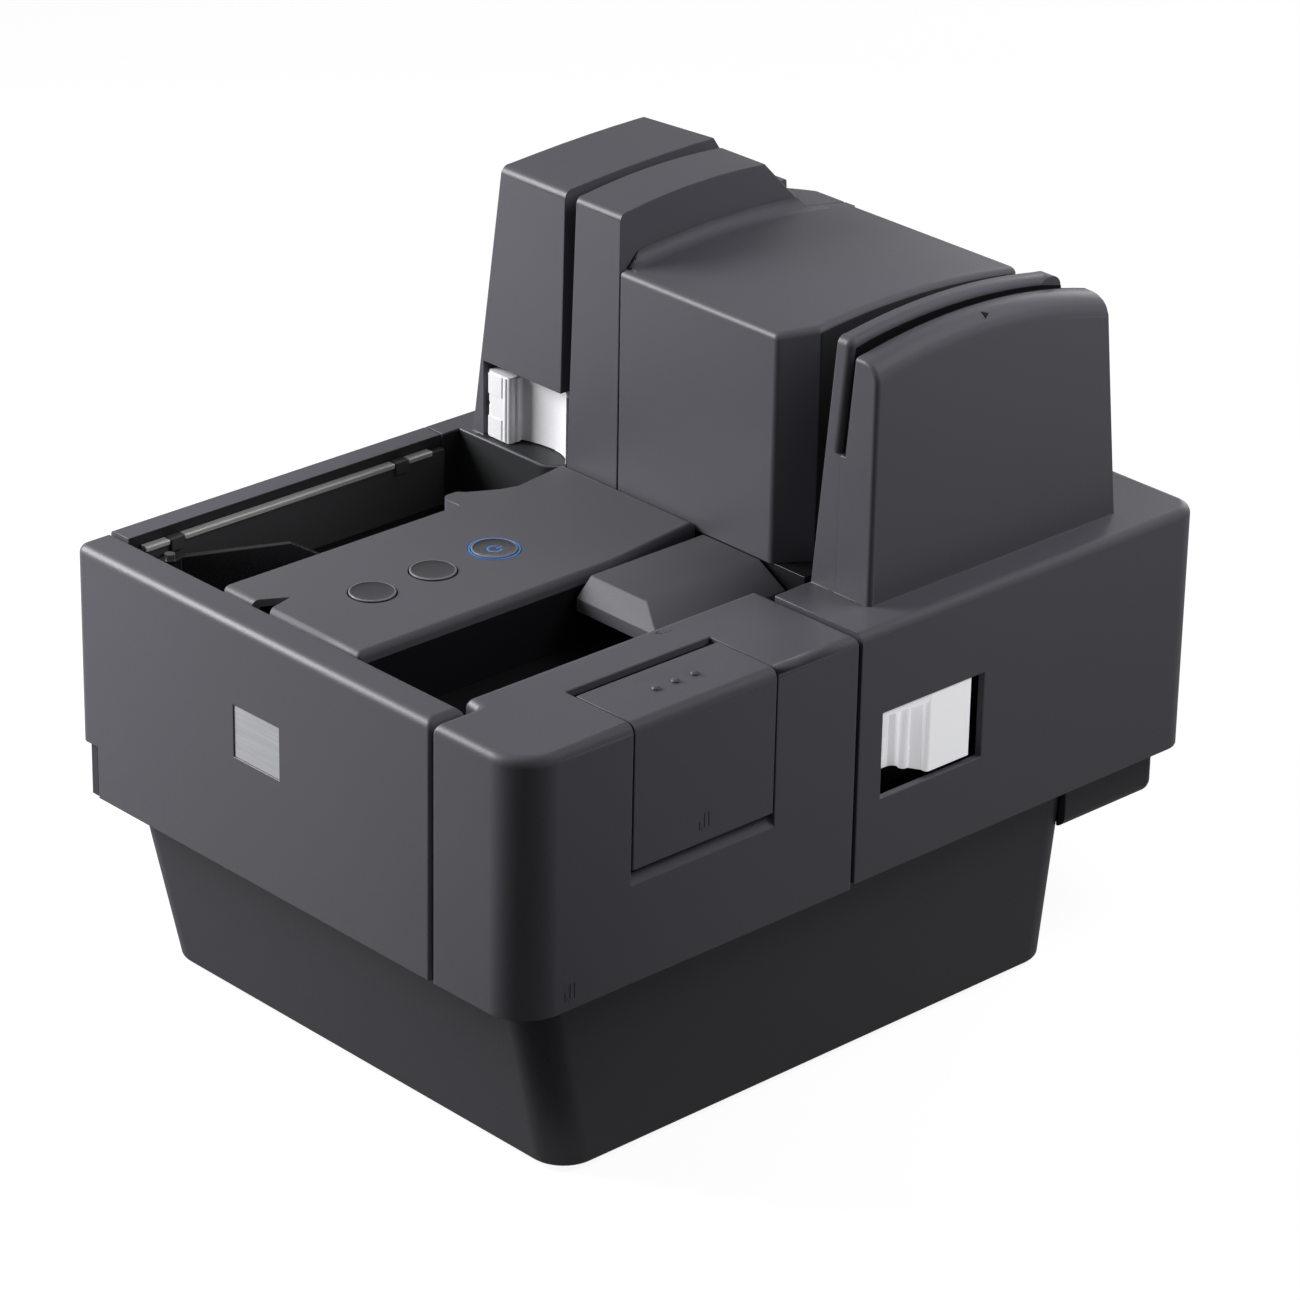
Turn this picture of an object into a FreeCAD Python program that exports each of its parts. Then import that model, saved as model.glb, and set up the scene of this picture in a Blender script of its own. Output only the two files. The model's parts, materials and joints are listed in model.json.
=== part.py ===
import FreeCAD, Part
import math
import os

os.makedirs("parts", exist_ok=True)

# Cheque scanner, in millimetres. X runs to the operator's right, Y to the rear, Z up.
# The origin is on the table under the middle of the machine.

# Overall size
overall_width = 191.0
overall_depth = 264.4
overall_height = 226.4
body_bottom = 58.6
body_top = 136.8

# Shared wall and fit sizes
wall = 2.5
thin_wall = 2.0
seam = 0.9
edge_round = 3.0
side_edge_round = 1.2
small_round = 1.2
corner_round = 8.0
front_corner_round = 13.0
running_gap = 0.35
panel_gap = 0.6
seat_gap = 0.1
pin_gap = 0.05
overrun = 6.0
shortest_edge = 0.001
plane_tolerance = 0.01

# Planes measured in from the outer faces
side_wall_width = 8.2
front_ledge = 12.8
hopper_width = 43.0
exit_inset = 42.2
exit_width = 39.3
front_seam_inset = 36.5
right_seam_setback = 124.9
left_seam_setback = 130.6
hopper_length = 137.6
tower_setback = 139.4
track_inset_left = 50.4
track_inset_right = 35.1
track_gap = 3.3
track_floor = 115.0
deck_thickness = 2.8
turn_setback = 22.2
turn_radius = 38.0

left_side = -overall_width / 2
right_side = overall_width / 2
front_face = -overall_depth / 2
rear_face = overall_depth / 2
hopper_left = left_side + side_wall_width
panel_left = hopper_left + hopper_width
exit_right = right_side - exit_inset
panel_right = exit_right - exit_width
pocket_front = front_face + front_ledge
front_seam_x = right_side - front_seam_inset
right_seam_y = front_face + right_seam_setback
left_seam_y = front_face + left_seam_setback
hopper_rear = front_face + hopper_length
tower_front = front_face + tower_setback
left_track_outer = left_side + track_inset_left
left_track_inner = left_track_outer + track_gap
right_track_outer = right_side - track_inset_right
right_track_inner = right_track_outer - track_gap
turn_inner_y = rear_face - turn_setback
turn_outer_y = turn_inner_y + track_gap
turn_start_y = turn_inner_y - turn_radius
deck_bottom = track_floor - deck_thickness

# Hinges of the two swing covers, at their rear inner corners
knuckle_radius = 5.2
hinge_inset = 33.5
hinge_pin_radius = 2.0
left_hinge_x = left_side + hinge_inset
right_hinge_x = right_side - hinge_inset
hinge_y = rear_face - knuckle_radius
guide_clearance = 3.5

# Pedestal
foot_stand = 1.2
foot_radius = 8.0
foot_inset = 22.0
foot_recess = 0.8
pedestal_bottom_inset = 8.7
pedestal_top_inset = 7.5
pedestal_front_inset = 23.0
pedestal_front_top_inset = 9.8
pedestal_rear_inset = 44.9
pedestal_rear_top_inset = 38.9
pedestal_round = 11.0
pedestal_wall = 2.6
pedestal_edge_round = 0.8
pedestal_rib = 2.0
pedestal_rib_height = 9.0
pedestal_rib_count = 4

# Rear underbody
underbody_bottom = 43.0
underbody_side_inset = 6.5
underbody_rear_inset = 5.7
underbody_round = 4.0
inlet_width = 15.0
inlet_height = 11.0
inlet_depth = 16.0
inlet_x_inset = 30.0
inlet_bore_radius = 3.2
inlet_pin_radius = 1.0
socket_width = 12.0
socket_height = 10.5
socket_depth = 15.0
socket_x_inset = 58.0
socket_mouth_width = 8.4
socket_mouth_height = 7.6
socket_mouth_depth = 9.0
socket_tongue_width = 5.0
socket_tongue_height = 2.6
connector_drop = 7.5

# Chassis base plate and posts
base_thickness = 2.8
base_inset = 3.1
base_round = 10.0
post_width = 8.0
post_y_shares = (0.06, 0.33)
rear_post_share = 0.60
sill_width = 4.5
sill_top = 74.6
sill_inset = 3.2
left_cover_bottom = 75.0
right_cover_bottom = 59.6

# Front cover
left_front_round = 3.5
badge_left_inset = 70.9
badge_width = 19.5
badge_bottom = 95.5
badge_height = 15.8
badge_drop = 0.4
badge_thickness = 0.6
sill_notch_width = 8.0

# Hatch over the print cartridge
hatch_start = 39.5
hatch_length = 53.5
hatch_inner_inset = 27.2
hatch_finger_gap = 3.8
hatch_lip_bottom = 88.5
hatch_bottom = 93.0
hatch_wall = 2.2
hatch_pin_radius = 0.85
hatch_pin_inset = 2.6
hatch_ear_length = 5.0
hatch_ear_radius = 2.0
hatch_lug_radius = 1.5
hatch_lug_gap = 0.3
hatch_skin = 0.8
hatch_sill_top = 91.3
hatch_sill_run = 2.4
hatch_sill_depth = 5.0
hatch_dot_radius = 0.9
hatch_dot_height = 0.35
hatch_dot_pitch = 7.1
hatch_dot_inset = 12.5

# Print cartridge and its holder
holder_inset = 7.5
holder_width = 27.0
holder_length = 46.0
holder_height = 24.0
cartridge_gap = 0.4
cartridge_rise = 7.0
nozzle_width = 3.0
nozzle_length = 14.0

# Hopper
liner_top_drop = 3.7
liner_gap = 0.3
strip_thickness = 0.8
strip_rise = 1.0
strip_leg = 0.6
strip_front_gap = 4.2
strip_rear_gap = 8.0
strip_notch_length = 5.6
strip_notch_places_share = (0.105, 0.89)
clip_width = 4.6
clip_height = 3.0

# Pusher plate
pusher_pivot_inset = 7.0
pusher_pivot_setback = 9.4
pusher_angle = 23.7
pusher_length = 74.0
pusher_thickness = 2.0
pusher_height = 15.4
pusher_low_height = 6.5
pusher_level_share = 0.48
pusher_slope_share = 0.70
pusher_pad_length = 15.0
pusher_hub_radius = 3.2
pusher_pin_radius = 1.5
pusher_floor_gap = 0.4

# Control panel
panel_slope_setback = 31.7
panel_slope_rise = 2.8
bump_length = 15.6
bump_reach = 7.8
bump_nose = 5.6
bump_nose_round = 2.5
bump_front_setback = 37.8
bump_height = 6.0
bump_blend = 5.2
notch_width = 7.8
notch_depth = 9.4
notch_inset = 12.2
button_radius = 6.7
button_gap = 0.35
button_rim = 0.9
button_x_inset = 28.4
button_y_setbacks = (41.9, 64.2, 87.2)
button_thickness = 3.0
button_dish = 0.35
button_travel = 0.8
button_stem_radius = 2.0
button_stem_length = 5.0
button_flange = 1.4
ring_width = 0.45
board_thickness = 1.6
board_width = 20.0
board_margin = 9.0
switch_size = 6.0
switch_height = 3.2

# Exit head
head_left_gap = 2.8
head_front_setback = 36.4
head_chamfer = 5.5
head_right_inset = 55.6
head_side_run = 11.0
head_side_drop = 6.0
head_height = 9.5

# Centre block
block_right_inset = 44.7
block_corner_inset = 51.3
block_corner_run = 10.8
block_rear_setback = 34.7
block_front_top = 206.3
block_peak_top = 209.5
block_rear_top = 205.6
block_seam_inset = 75.6
block_seam = 0.5
block_peak_share = 0.43
ridge_front_top = 223.2
ridge_peak_top = 226.0
ridge_rear_top = 225.2
ridge_level_share = 0.63
ridge_foot_share = 0.81
ridge_lean = 3.2
block_round = 2.2
block_blend_radius = 4.0

# Left tower
left_tower_outer_inset = 12.0
left_tower_top_inset = 24.9
left_tower_inner_lean = 1.6
left_tower_front_top = 223.7
left_tower_level = 58.5
left_tower_rear_angle = 6.5
left_tower_shoulder = 206.0
left_tower_shoulder_run = 14.0
left_tower_rear_top = 203.0
tower_rear_setback = 24.8
tower_rear_lean = 8.0
tower_round = 2.6
ledge_round = 7.0

# Right tower with the card slot
right_tower_outer_inset = 11.8
fin_lean = 7.7
fin_front_top = 213.6
fin_peak_top = 216.4
fin_rear_top = 212.2
fin_peak_share = 0.30
card_wall_front_top = 209.0
card_wall_peak_top = 213.4
card_wall_rear_top = 206.0
card_wall_peak_share = 0.40
card_slot_floor = 178.6
card_slot_width = 2.4
fin_thickness = 5.2
fin_slot_round = 2.2
fin_front_round = 2.6
fin_end_round = 5.0
fin_rear_setback = 9.0
card_wall_round = 6.0
tower_cavity_top = 174.0

# Levers
left_lever_opening_width = 33.4
left_lever_opening_height = 23.8
lever_clearance = 0.3
left_lever_travel = 0.8
left_lever_height = 21.0
lever_grip_width = 9.8
lever_thickness = 2.2
lever_groove_share = 0.5
left_lever_setback = 0.6
left_lever_depth = 9.5
right_lever_opening_start = 9.6
right_lever_opening_length = 40.5
right_lever_bottom = 83.5
right_lever_top = 110.1
right_lever_travel = 4.0
right_lever_plate = 17.6
right_lever_depth = 10.0
right_lever_margin = 2.2
lever_shelf = 1.8

# Rollers, belt and motor
roller_radius = 8.0
roller_reach = 1.2
roller_bottom_gap = 2.2
roller_top_gap = 5.5
roller_shaft_radius = 2.5
pinch_radius = 6.0
pinch_pin_radius = 1.5
roller_gap = 0.4
roller_side_setback = 50.0
feed_roller_radius = 9.0
feed_roller_setback = 95.4
feed_roller_reach = 5.7
pulley_radius = 8.0
pulley_flange = 1.2
pulley_flange_thickness = 1.0
pulley_width = 7.0
pulley_drop = 14.0
belt_width = 6.0
belt_thickness = 1.2
belt_gap = 0.3
motor_radius = 18.0
motor_height = 34.0
motor_shaft_radius = 2.0
motor_pulley_radius = 5.0
motor_x_inset = 91.0
motor_setback = 75.0
window_gap = 1.0
bracket_thickness = 2.0

# Sensors
sensor_setback = 22.0
sensor_length = 12.0
sensor_height = 84.0
sensor_depth = 9.0
sensor_glass_thickness = 1.0
sensor_inset = 0.3
head_size = 11.0
magnet_head_setback = 66.0
magnet_head_depth = 9.0

# Boards and fasteners
main_board_width = 96.0
main_board_margin = 6.0
main_board_stand = 6.0
chip_sizes = ((22.0, 22.0, 2.6), (14.0, 20.0, 2.2), (30.0, 12.0, 9.0))
chip_place_shares = ((0.30, 0.62), (0.68, 0.70), (0.45, 0.22))

# Rear cover and turn guides
guide_thickness = 2.0
guide_top = 165.0
rear_cover_gap = 0.8


def vector(plane, u, v, w):
    # A point given in a plane's own two directions and its normal.
    if plane == "xy":
        return FreeCAD.Vector(u, v, w)
    if plane == "xz":
        return FreeCAD.Vector(u, w, v)
    return FreeCAD.Vector(w, u, v)


def corner(before, point, after, radius):
    # The two tangent points and the middle of the arc that rounds one corner.
    ax, ay = before[0] - point[0], before[1] - point[1]
    bx, by = after[0] - point[0], after[1] - point[1]
    la, lb = math.hypot(ax, ay), math.hypot(bx, by)
    ax, ay, bx, by = ax / la, ay / la, bx / lb, by / lb
    half = math.acos(max(-1.0, min(1.0, ax * bx + ay * by))) / 2
    reach = radius / math.tan(half)
    mx, my = ax + bx, ay + by
    lm = math.hypot(mx, my)
    centre = radius / math.sin(half)
    near = centre - radius
    start = (point[0] + ax * reach, point[1] + ay * reach)
    middle = (point[0] + mx / lm * near, point[1] + my / lm * near)
    end = (point[0] + bx * reach, point[1] + by * reach)
    return start, middle, end


def outline(plane, points, at):
    # A closed wire. A point is (u, v), (u, v, radius) or (u, v, 0, (u, v) of an arc to the next).
    count = len(points)
    corners = []
    for i, point in enumerate(points):
        radius = point[2] if len(point) > 2 else 0
        if radius:
            corners.append(corner(points[i - 1], point, points[(i + 1) % count], radius))
        else:
            corners.append((point[:2], None, point[:2]))
    edges = []
    for i in range(count):
        start, middle, end = corners[i]
        if middle:
            arc = [vector(plane, p[0], p[1], at) for p in (start, middle, end)]
            edges.append(Part.Arc(*arc).toShape())
        following = corners[(i + 1) % count][0]
        through = points[i][3] if len(points[i]) > 3 else None
        here, there = vector(plane, end[0], end[1], at), vector(plane, following[0], following[1], at)
        if through:
            edges.append(Part.Arc(here, vector(plane, through[0], through[1], at), there).toShape())
        elif here.distanceToPoint(there) > shortest_edge:
            edges.append(Part.LineSegment(here, there).toShape())
    return Part.Wire(edges)


def prism(plane, points, start, end):
    # An outline drawn at one place along the normal and extruded to another.
    face = Part.Face(outline(plane, points, start))
    return face.extrude(vector(plane, 0, 0, end - start))


def box(x0, y0, z0, x1, y1, z1):
    return Part.makeBox(x1 - x0, y1 - y0, z1 - z0, FreeCAD.Vector(x0, y0, z0))


def cylinder(x, y, z0, z1, radius):
    return Part.makeCylinder(radius, z1 - z0, FreeCAD.Vector(x, y, z0))


def cylinder_y(x, z, y0, y1, radius):
    return Part.makeCylinder(radius, y1 - y0, FreeCAD.Vector(x, y0, z), FreeCAD.Vector(0, 1, 0))


def rectangle(x0, y0, x1, y1, radius=0):
    return [(x0, y0, radius), (x1, y0, radius), (x1, y1, radius), (x0, y1, radius)]


def frustum(low, high):
    # A solid between two rings of corners whose sides are all flat.
    faces = [Part.Face(Part.makePolygon(ring + ring[:1])) for ring in (low[::-1], high)]
    for i in range(len(low)):
        corners = [low[i - 1], low[i], high[i], high[i - 1]]
        faces.append(Part.Face(Part.makePolygon(corners + corners[:1])))
    return Part.Solid(Part.makeShell(faces))


def rounded(shape, radius, chosen):
    # The solid with every edge for which the test holds rounded to one radius.
    return shape.makeFillet(radius, [edge for edge in shape.Edges if chosen(edge)])


def lies_at(edge, axis, value):
    # Whether a whole edge lies in the plane where one coordinate has a value.
    box_of_edge = edge.BoundBox
    low = getattr(box_of_edge, axis + "Min")
    high = getattr(box_of_edge, axis + "Max")
    return abs(low - value) < plane_tolerance and abs(high - value) < plane_tolerance


def fused(shapes):
    first, rest = shapes[0], shapes[1:]
    return first.fuse(rest).removeSplitter() if rest else first


def save(name, shape):
    if not shape.isValid():
        print("not valid:", name)
    solids = shape.Solids
    solid = solids[0] if len(solids) == 1 else Part.makeCompound(solids)
    solid.exportStep("parts/" + name + ".step")


def pedestal_body(inset, floor):
    # Four flat leaning sides between a floor level and the body, with rounded upright corners.
    shares = ((floor - foot_stand) / (body_bottom - foot_stand), 1)
    rings = []
    for share in shares:
        side = pedestal_bottom_inset + (pedestal_top_inset - pedestal_bottom_inset) * share + inset
        front = pedestal_front_inset + (pedestal_front_top_inset - pedestal_front_inset) * share + inset
        rear = pedestal_rear_inset + (pedestal_rear_top_inset - pedestal_rear_inset) * share + inset
        points = rectangle(left_side + side, front_face + front, right_side - side, rear_face - rear)
        level = foot_stand + (body_bottom - foot_stand) * share
        rings.append([FreeCAD.Vector(x, y, level) for x, y, radius in points])
    return rounded(frustum(*rings), pedestal_round - inset,
                   lambda edge: edge.BoundBox.ZLength > (body_bottom - floor) / 2)


def pedestal():
    # A tapered tub that leans back at the front, with a floor, ribs and recesses for the feet.
    outer = pedestal_body(0, foot_stand)
    outer = outer.makeChamfer(pedestal_edge_round, [edge for edge in outer.Edges
                                                    if lies_at(edge, "Z", foot_stand)])
    floor = foot_stand + pedestal_wall
    inner = pedestal_body(pedestal_wall, floor)
    ribs = []
    for y in rib_places():
        ribs.append(box(left_side, y - pedestal_rib / 2, floor,
                        right_side, y + pedestal_rib / 2, floor + pedestal_rib_height))
    ribs = Part.makeCompound(ribs).common(inner)
    shell = fused([outer.cut(inner)] + ribs.Solids)
    for x, y in foot_places():
        shell = shell.cut(cylinder(x, y, 0, foot_stand + foot_recess, foot_radius + seat_gap))
    return shell


def rib_places():
    span = overall_depth - pedestal_front_inset - pedestal_rear_inset
    start = front_face + pedestal_front_inset
    return [start + span * (i + 1) / (pedestal_rib_count + 1) for i in range(pedestal_rib_count)]


def foot_places():
    x = overall_width / 2 - pedestal_bottom_inset - foot_inset
    y_front = front_face + pedestal_front_inset + foot_inset
    y_rear = rear_face - pedestal_rear_inset - foot_inset
    return [(side * x, y) for side in (-1, 1) for y in (y_front, y_rear)]


def rubber_feet():
    feet = []
    for x, y in foot_places():
        feet.append(cylinder(x, y, 0, foot_stand + foot_recess, foot_radius))
    return Part.makeCompound(feet)


def connector_x(inset):
    return right_side - inset


def connector_z():
    return body_bottom - connector_drop


def rear_underbody():
    # The part of the lower housing that runs on behind the pedestal and holds the connectors.
    front = rear_face - pedestal_rear_inset
    rear = rear_face - underbody_rear_inset
    side = overall_width / 2 - underbody_side_inset
    profile = [(front, underbody_bottom), (rear, underbody_bottom, underbody_round),
               (rear, body_bottom), (front, body_bottom)]
    outer = prism("yz", profile, -side, side)
    outer = rounded(outer, underbody_round,
                    lambda edge: abs(edge.BoundBox.XMax) > side - small_round
                    and edge.BoundBox.ZLength > small_round
                    and edge.BoundBox.YMin > rear - small_round and edge.BoundBox.YLength < seat_gap)
    cavity = box(-side + wall, front - overrun, underbody_bottom + wall,
                 side - wall, rear - wall, body_bottom + overrun)
    shell = outer.cut(cavity).cut(pedestal_body(-seat_gap, foot_stand))
    for inset, width, height in ((inlet_x_inset, inlet_width, inlet_height),
                                 (socket_x_inset, socket_width, socket_height)):
        x, z = connector_x(inset), connector_z()
        half_width, half_height = width / 2 + seat_gap, height / 2 + seat_gap
        shell = shell.cut(box(x - half_width, rear - wall - overrun, z - half_height,
                              x + half_width, rear + overrun, z + half_height))
    return shell


def power_inlet():
    # A round low-voltage inlet with a centre pin, flush with the rear face.
    rear = rear_face - underbody_rear_inset
    x, z = connector_x(inlet_x_inset), connector_z()
    body = box(x - inlet_width / 2, rear - inlet_depth, z - inlet_height / 2,
               x + inlet_width / 2, rear, z + inlet_height / 2)
    bore = cylinder_y(x, z, rear - inlet_depth + wall, rear + overrun, inlet_bore_radius)
    pin = cylinder_y(x, z, rear - inlet_depth + wall, rear - wall, inlet_pin_radius)
    return fused([body.cut(bore), pin])


def data_socket():
    rear = rear_face - underbody_rear_inset
    x, z = connector_x(socket_x_inset), connector_z()
    body = box(x - socket_width / 2, rear - socket_depth, z - socket_height / 2,
               x + socket_width / 2, rear, z + socket_height / 2)
    mouth = box(x - socket_mouth_width / 2, rear - socket_mouth_depth, z - socket_mouth_height / 2,
                x + socket_mouth_width / 2, rear + overrun, z + socket_mouth_height / 2)
    tongue = box(x - socket_tongue_width / 2, rear - socket_mouth_depth, z - socket_tongue_height / 2,
                 x + socket_tongue_width / 2, rear - wall / 2, z + socket_tongue_height / 2)
    return fused([body.cut(mouth), tongue])


def post_places():
    left = hopper_left + post_width
    right = right_track_outer + post_width / 2
    places = []
    for share in post_y_shares:
        y = pocket_front + share * overall_depth
        places += [(left, y), (exit_right - post_width, y)]
    rear_y = pocket_front + rear_post_share * overall_depth
    places += [(left_track_outer - post_width, rear_y), (right, rear_y)]
    return places


def main_chassis():
    # The base plate of the upper body with posts that carry the transport deck.
    left = left_side + sill_inset + sill_width + seat_gap
    rear = rear_face - underbody_rear_inset
    plate = prism("xy", [(left, front_face + base_inset), (right_side - base_inset,
                                                           front_face + base_inset, base_round),
                         (right_side - base_inset, rear, corner_round),
                         (left_hinge_x - knuckle_radius, rear),
                         (left_hinge_x - knuckle_radius, rear - sill_width - seat_gap),
                         (left, rear - sill_width - seat_gap)],
                  body_bottom, body_bottom + base_thickness)
    top = body_bottom + base_thickness
    pieces = [plate]
    for x, y in post_places():
        pieces.append(box(x - post_width / 2, y - post_width / 2, top,
                          x + post_width / 2, y + post_width / 2, deck_bottom))
    chassis = fused(pieces)
    motor_x, motor_y = motor_place()
    chassis = chassis.cut(cylinder(motor_x, motor_y, body_bottom - overrun, top + overrun,
                                   motor_radius + window_gap))
    opening = box(-main_board_width / 2, tower_front + post_width * 2, body_bottom - overrun,
                  main_board_width / 2 - post_width, turn_start_y, top + overrun)
    return chassis.cut(opening)


def left_sill():
    # The lower frame rail that shows below the left covers, down to the front corner.
    outer_x, outer_y = left_side + sill_inset, rear_face - underbody_rear_inset
    inner_x, inner_y = outer_x + sill_width, outer_y - sill_width
    end = left_hinge_x - knuckle_radius - sill_width
    points = [(outer_x, front_face + seam, small_round), (inner_x, front_face + seam, small_round),
              (inner_x, inner_y), (end, inner_y), (end, outer_y), (outer_x, outer_y, corner_round)]
    return prism("xy", points, body_bottom, sill_top)


def front_cover():
    # A deep channel: front face, top ledge and the wall behind the two pockets.
    right_end = front_seam_x - seam / 2
    points = [(left_side, front_face, left_front_round), (right_end, front_face, small_round),
              (right_end, pocket_front, small_round), (left_side, pocket_front)]
    outer = prism("xy", points, body_bottom, body_top)
    outer = rounded(outer, edge_round,
                    lambda edge: lies_at(edge, "Z", body_top) and edge.BoundBox.YMin < pocket_front - wall)
    cavity = prism("xy", [(left_side + wall, front_face + wall, left_front_round - wall),
                          (right_end - wall, front_face + wall),
                          (right_end - wall, pocket_front - thin_wall),
                          (left_side + wall, pocket_front - thin_wall)],
                   body_bottom - overrun, body_top - wall)
    shell = outer.cut(cavity)
    base_top = body_bottom + base_thickness + panel_gap
    plate_room = box(hopper_left - panel_gap, front_face + wall, body_bottom - overrun,
                     right_end + overrun, pocket_front + overrun, base_top)
    notch = box(left_side - overrun, front_face - overrun, body_bottom - overrun,
                left_side + sill_notch_width, pocket_front + overrun, left_cover_bottom)
    badge_x = left_side + badge_left_inset
    recess = box(badge_x - seat_gap, front_face - overrun, badge_bottom - seat_gap,
                 badge_x + badge_width + seat_gap, front_face + badge_drop + badge_thickness,
                 badge_bottom + badge_height + seat_gap)
    return shell.cut(plate_room).cut(notch).cut(recess)


def badge_plate():
    # A blank plate let into the front face.
    x0 = left_side + badge_left_inset
    y0 = front_face + badge_drop
    return box(x0, y0, badge_bottom, x0 + badge_width, y0 + badge_thickness, badge_bottom + badge_height)


def left_wall():
    # The hollow side wall of the hopper, open underneath.
    front, rear = pocket_front + seam / 3, left_seam_y - seam / 2
    outer = box(left_side, front, left_cover_bottom, hopper_left, rear, body_top)
    outer = rounded(outer, side_edge_round,
                    lambda edge: lies_at(edge, "Z", body_top) and lies_at(edge, "X", left_side))
    cavity = box(left_side + wall, front + wall, left_cover_bottom - overrun,
                 hopper_left - thin_wall, rear - wall, body_top - wall)
    return outer.cut(cavity)


def hatch_y():
    start = front_face + hatch_start
    return start, start + hatch_length


def right_front_cover():
    # The corner cover with the large round corner, the hatch opening and the pocket's wall.
    left_end = front_seam_x + seam / 2
    rear = right_seam_y - seam / 2
    jog = pocket_front + edge_round
    points = [(left_end, front_face, small_round), (right_side, front_face, front_corner_round),
              (right_side, rear, small_round), (exit_right, rear, small_round),
              (exit_right, jog + small_round, small_round), (left_end, jog, small_round)]
    outer = prism("xy", points, body_bottom, body_top)
    outer = rounded(outer, edge_round,
                    lambda edge: lies_at(edge, "Z", body_top)
                    and (edge.BoundBox.XMax > right_side - front_corner_round + wall
                         and edge.BoundBox.YMax < rear + seat_gap and not lies_at(edge, "Y", rear)
                         and edge.BoundBox.XMin > exit_right + wall
                         or lies_at(edge, "Y", front_face)))
    cavity = Part.Face(outline("xy", points, body_bottom)).makeOffset2D(-wall)
    cavity = cavity.extrude(FreeCAD.Vector(0, 0, body_top - wall - body_bottom))
    shell = outer.cut(cavity)
    lower = prism("xy", [(exit_right - overrun, front_face + wall),
                         (right_side - wall, front_face + wall, front_corner_round - wall),
                         (right_side - wall, rear + overrun), (exit_right - overrun, rear + overrun)],
                  body_bottom - overrun, track_floor + panel_gap)
    shell = shell.cut(lower)
    y0, y1 = hatch_y()
    inner = right_side - hatch_inner_inset
    top_opening = box(inner, y0, hatch_lip_bottom, right_side + overrun, y1, body_top + overrun)
    middle = (y0 + y1) / 2
    print_window = box(exit_right - overrun, middle - nozzle_length / 2 - window_gap,
                       hatch_bottom + holder_height, exit_right + wall + overrun,
                       middle + nozzle_length / 2 + window_gap,
                       hatch_bottom + holder_height + cartridge_rise)
    shell = shell.cut(top_opening).cut(print_window)
    sill = prism("xz", [(right_side, hatch_lip_bottom), (right_side - hatch_sill_run, hatch_sill_top),
                        (right_side - hatch_sill_depth, hatch_sill_top),
                        (right_side - hatch_sill_depth, hatch_lip_bottom)], y0, y1)
    return fused([shell, sill])


def hatch_axis():
    return right_side - hatch_pin_inset, hatch_bottom + hatch_ear_radius


def hatch_lug_places():
    # Where the two bearings of the hatch pin begin along the machine.
    x0, y0, x1, y1 = holder_box(0)
    return y0 + hatch_ear_length, y1 - hatch_ear_length - thin_wall


def hatch_cover():
    # An L-shaped lid over the top and side with hinge ears at its lower edge.
    y0, y1 = hatch_y()
    y0, y1 = y0 + panel_gap, y1 - panel_gap
    inner = right_side - hatch_inner_inset + hatch_finger_gap
    outer = box(inner, y0, hatch_bottom, right_side, y1, body_top)
    outer = rounded(outer, edge_round,
                    lambda edge: lies_at(edge, "Z", body_top) and lies_at(edge, "X", right_side))
    hollow = prism("xz", [(inner - overrun, hatch_bottom - overrun),
                          (right_side - hatch_wall, hatch_bottom - overrun),
                          (right_side - hatch_wall, body_top - hatch_wall, small_round),
                          (inner - overrun, body_top - hatch_wall)], y0 - overrun, y1 + overrun)
    lid = outer.cut(hollow)
    pin_x, pin_z = hatch_axis()
    pieces = [lid]
    for start in (y0, y1 - hatch_ear_length):
        ear = prism("xz", [(pin_x, pin_z - hatch_ear_radius), (right_side - hatch_wall / 2,
                                                              pin_z - hatch_ear_radius),
                           (right_side - hatch_wall / 2, pin_z + hatch_ear_radius),
                           (pin_x, pin_z + hatch_ear_radius)], start, start + hatch_ear_length)
        pieces += [ear, cylinder_y(pin_x, pin_z, start, start + hatch_ear_length, hatch_ear_radius)]
    x = right_side - hatch_dot_inset
    middle = (y0 + y1) / 2
    for step in (-1, 0, 1):
        pieces.append(cylinder(x, middle + step * hatch_dot_pitch, body_top - hatch_wall,
                               body_top + hatch_dot_height, hatch_dot_radius))
    lid = fused(pieces)
    for y in hatch_lug_places():
        lid = lid.cut(box(right_side - hatch_wall - overrun, y - hatch_lug_gap, hatch_bottom - overrun,
                          right_side - hatch_skin, y + thin_wall + hatch_lug_gap,
                          pin_z + hatch_lug_radius + hatch_lug_gap))
    return lid.cut(cylinder_y(pin_x, pin_z, y0 - overrun, y1 + overrun, hatch_pin_radius + pin_gap))


def hatch_pin():
    y0, y1 = hatch_y()
    pin_x, pin_z = hatch_axis()
    return cylinder_y(pin_x, pin_z, y0 + panel_gap, y1 - panel_gap, hatch_pin_radius)


def holder_box(growth):
    y0, y1 = hatch_y()
    middle = (y0 + y1) / 2
    right = right_side - holder_inset
    return (right - holder_width + growth, middle - holder_length / 2 + growth,
            right - growth, middle + holder_length / 2 - growth)


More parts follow.
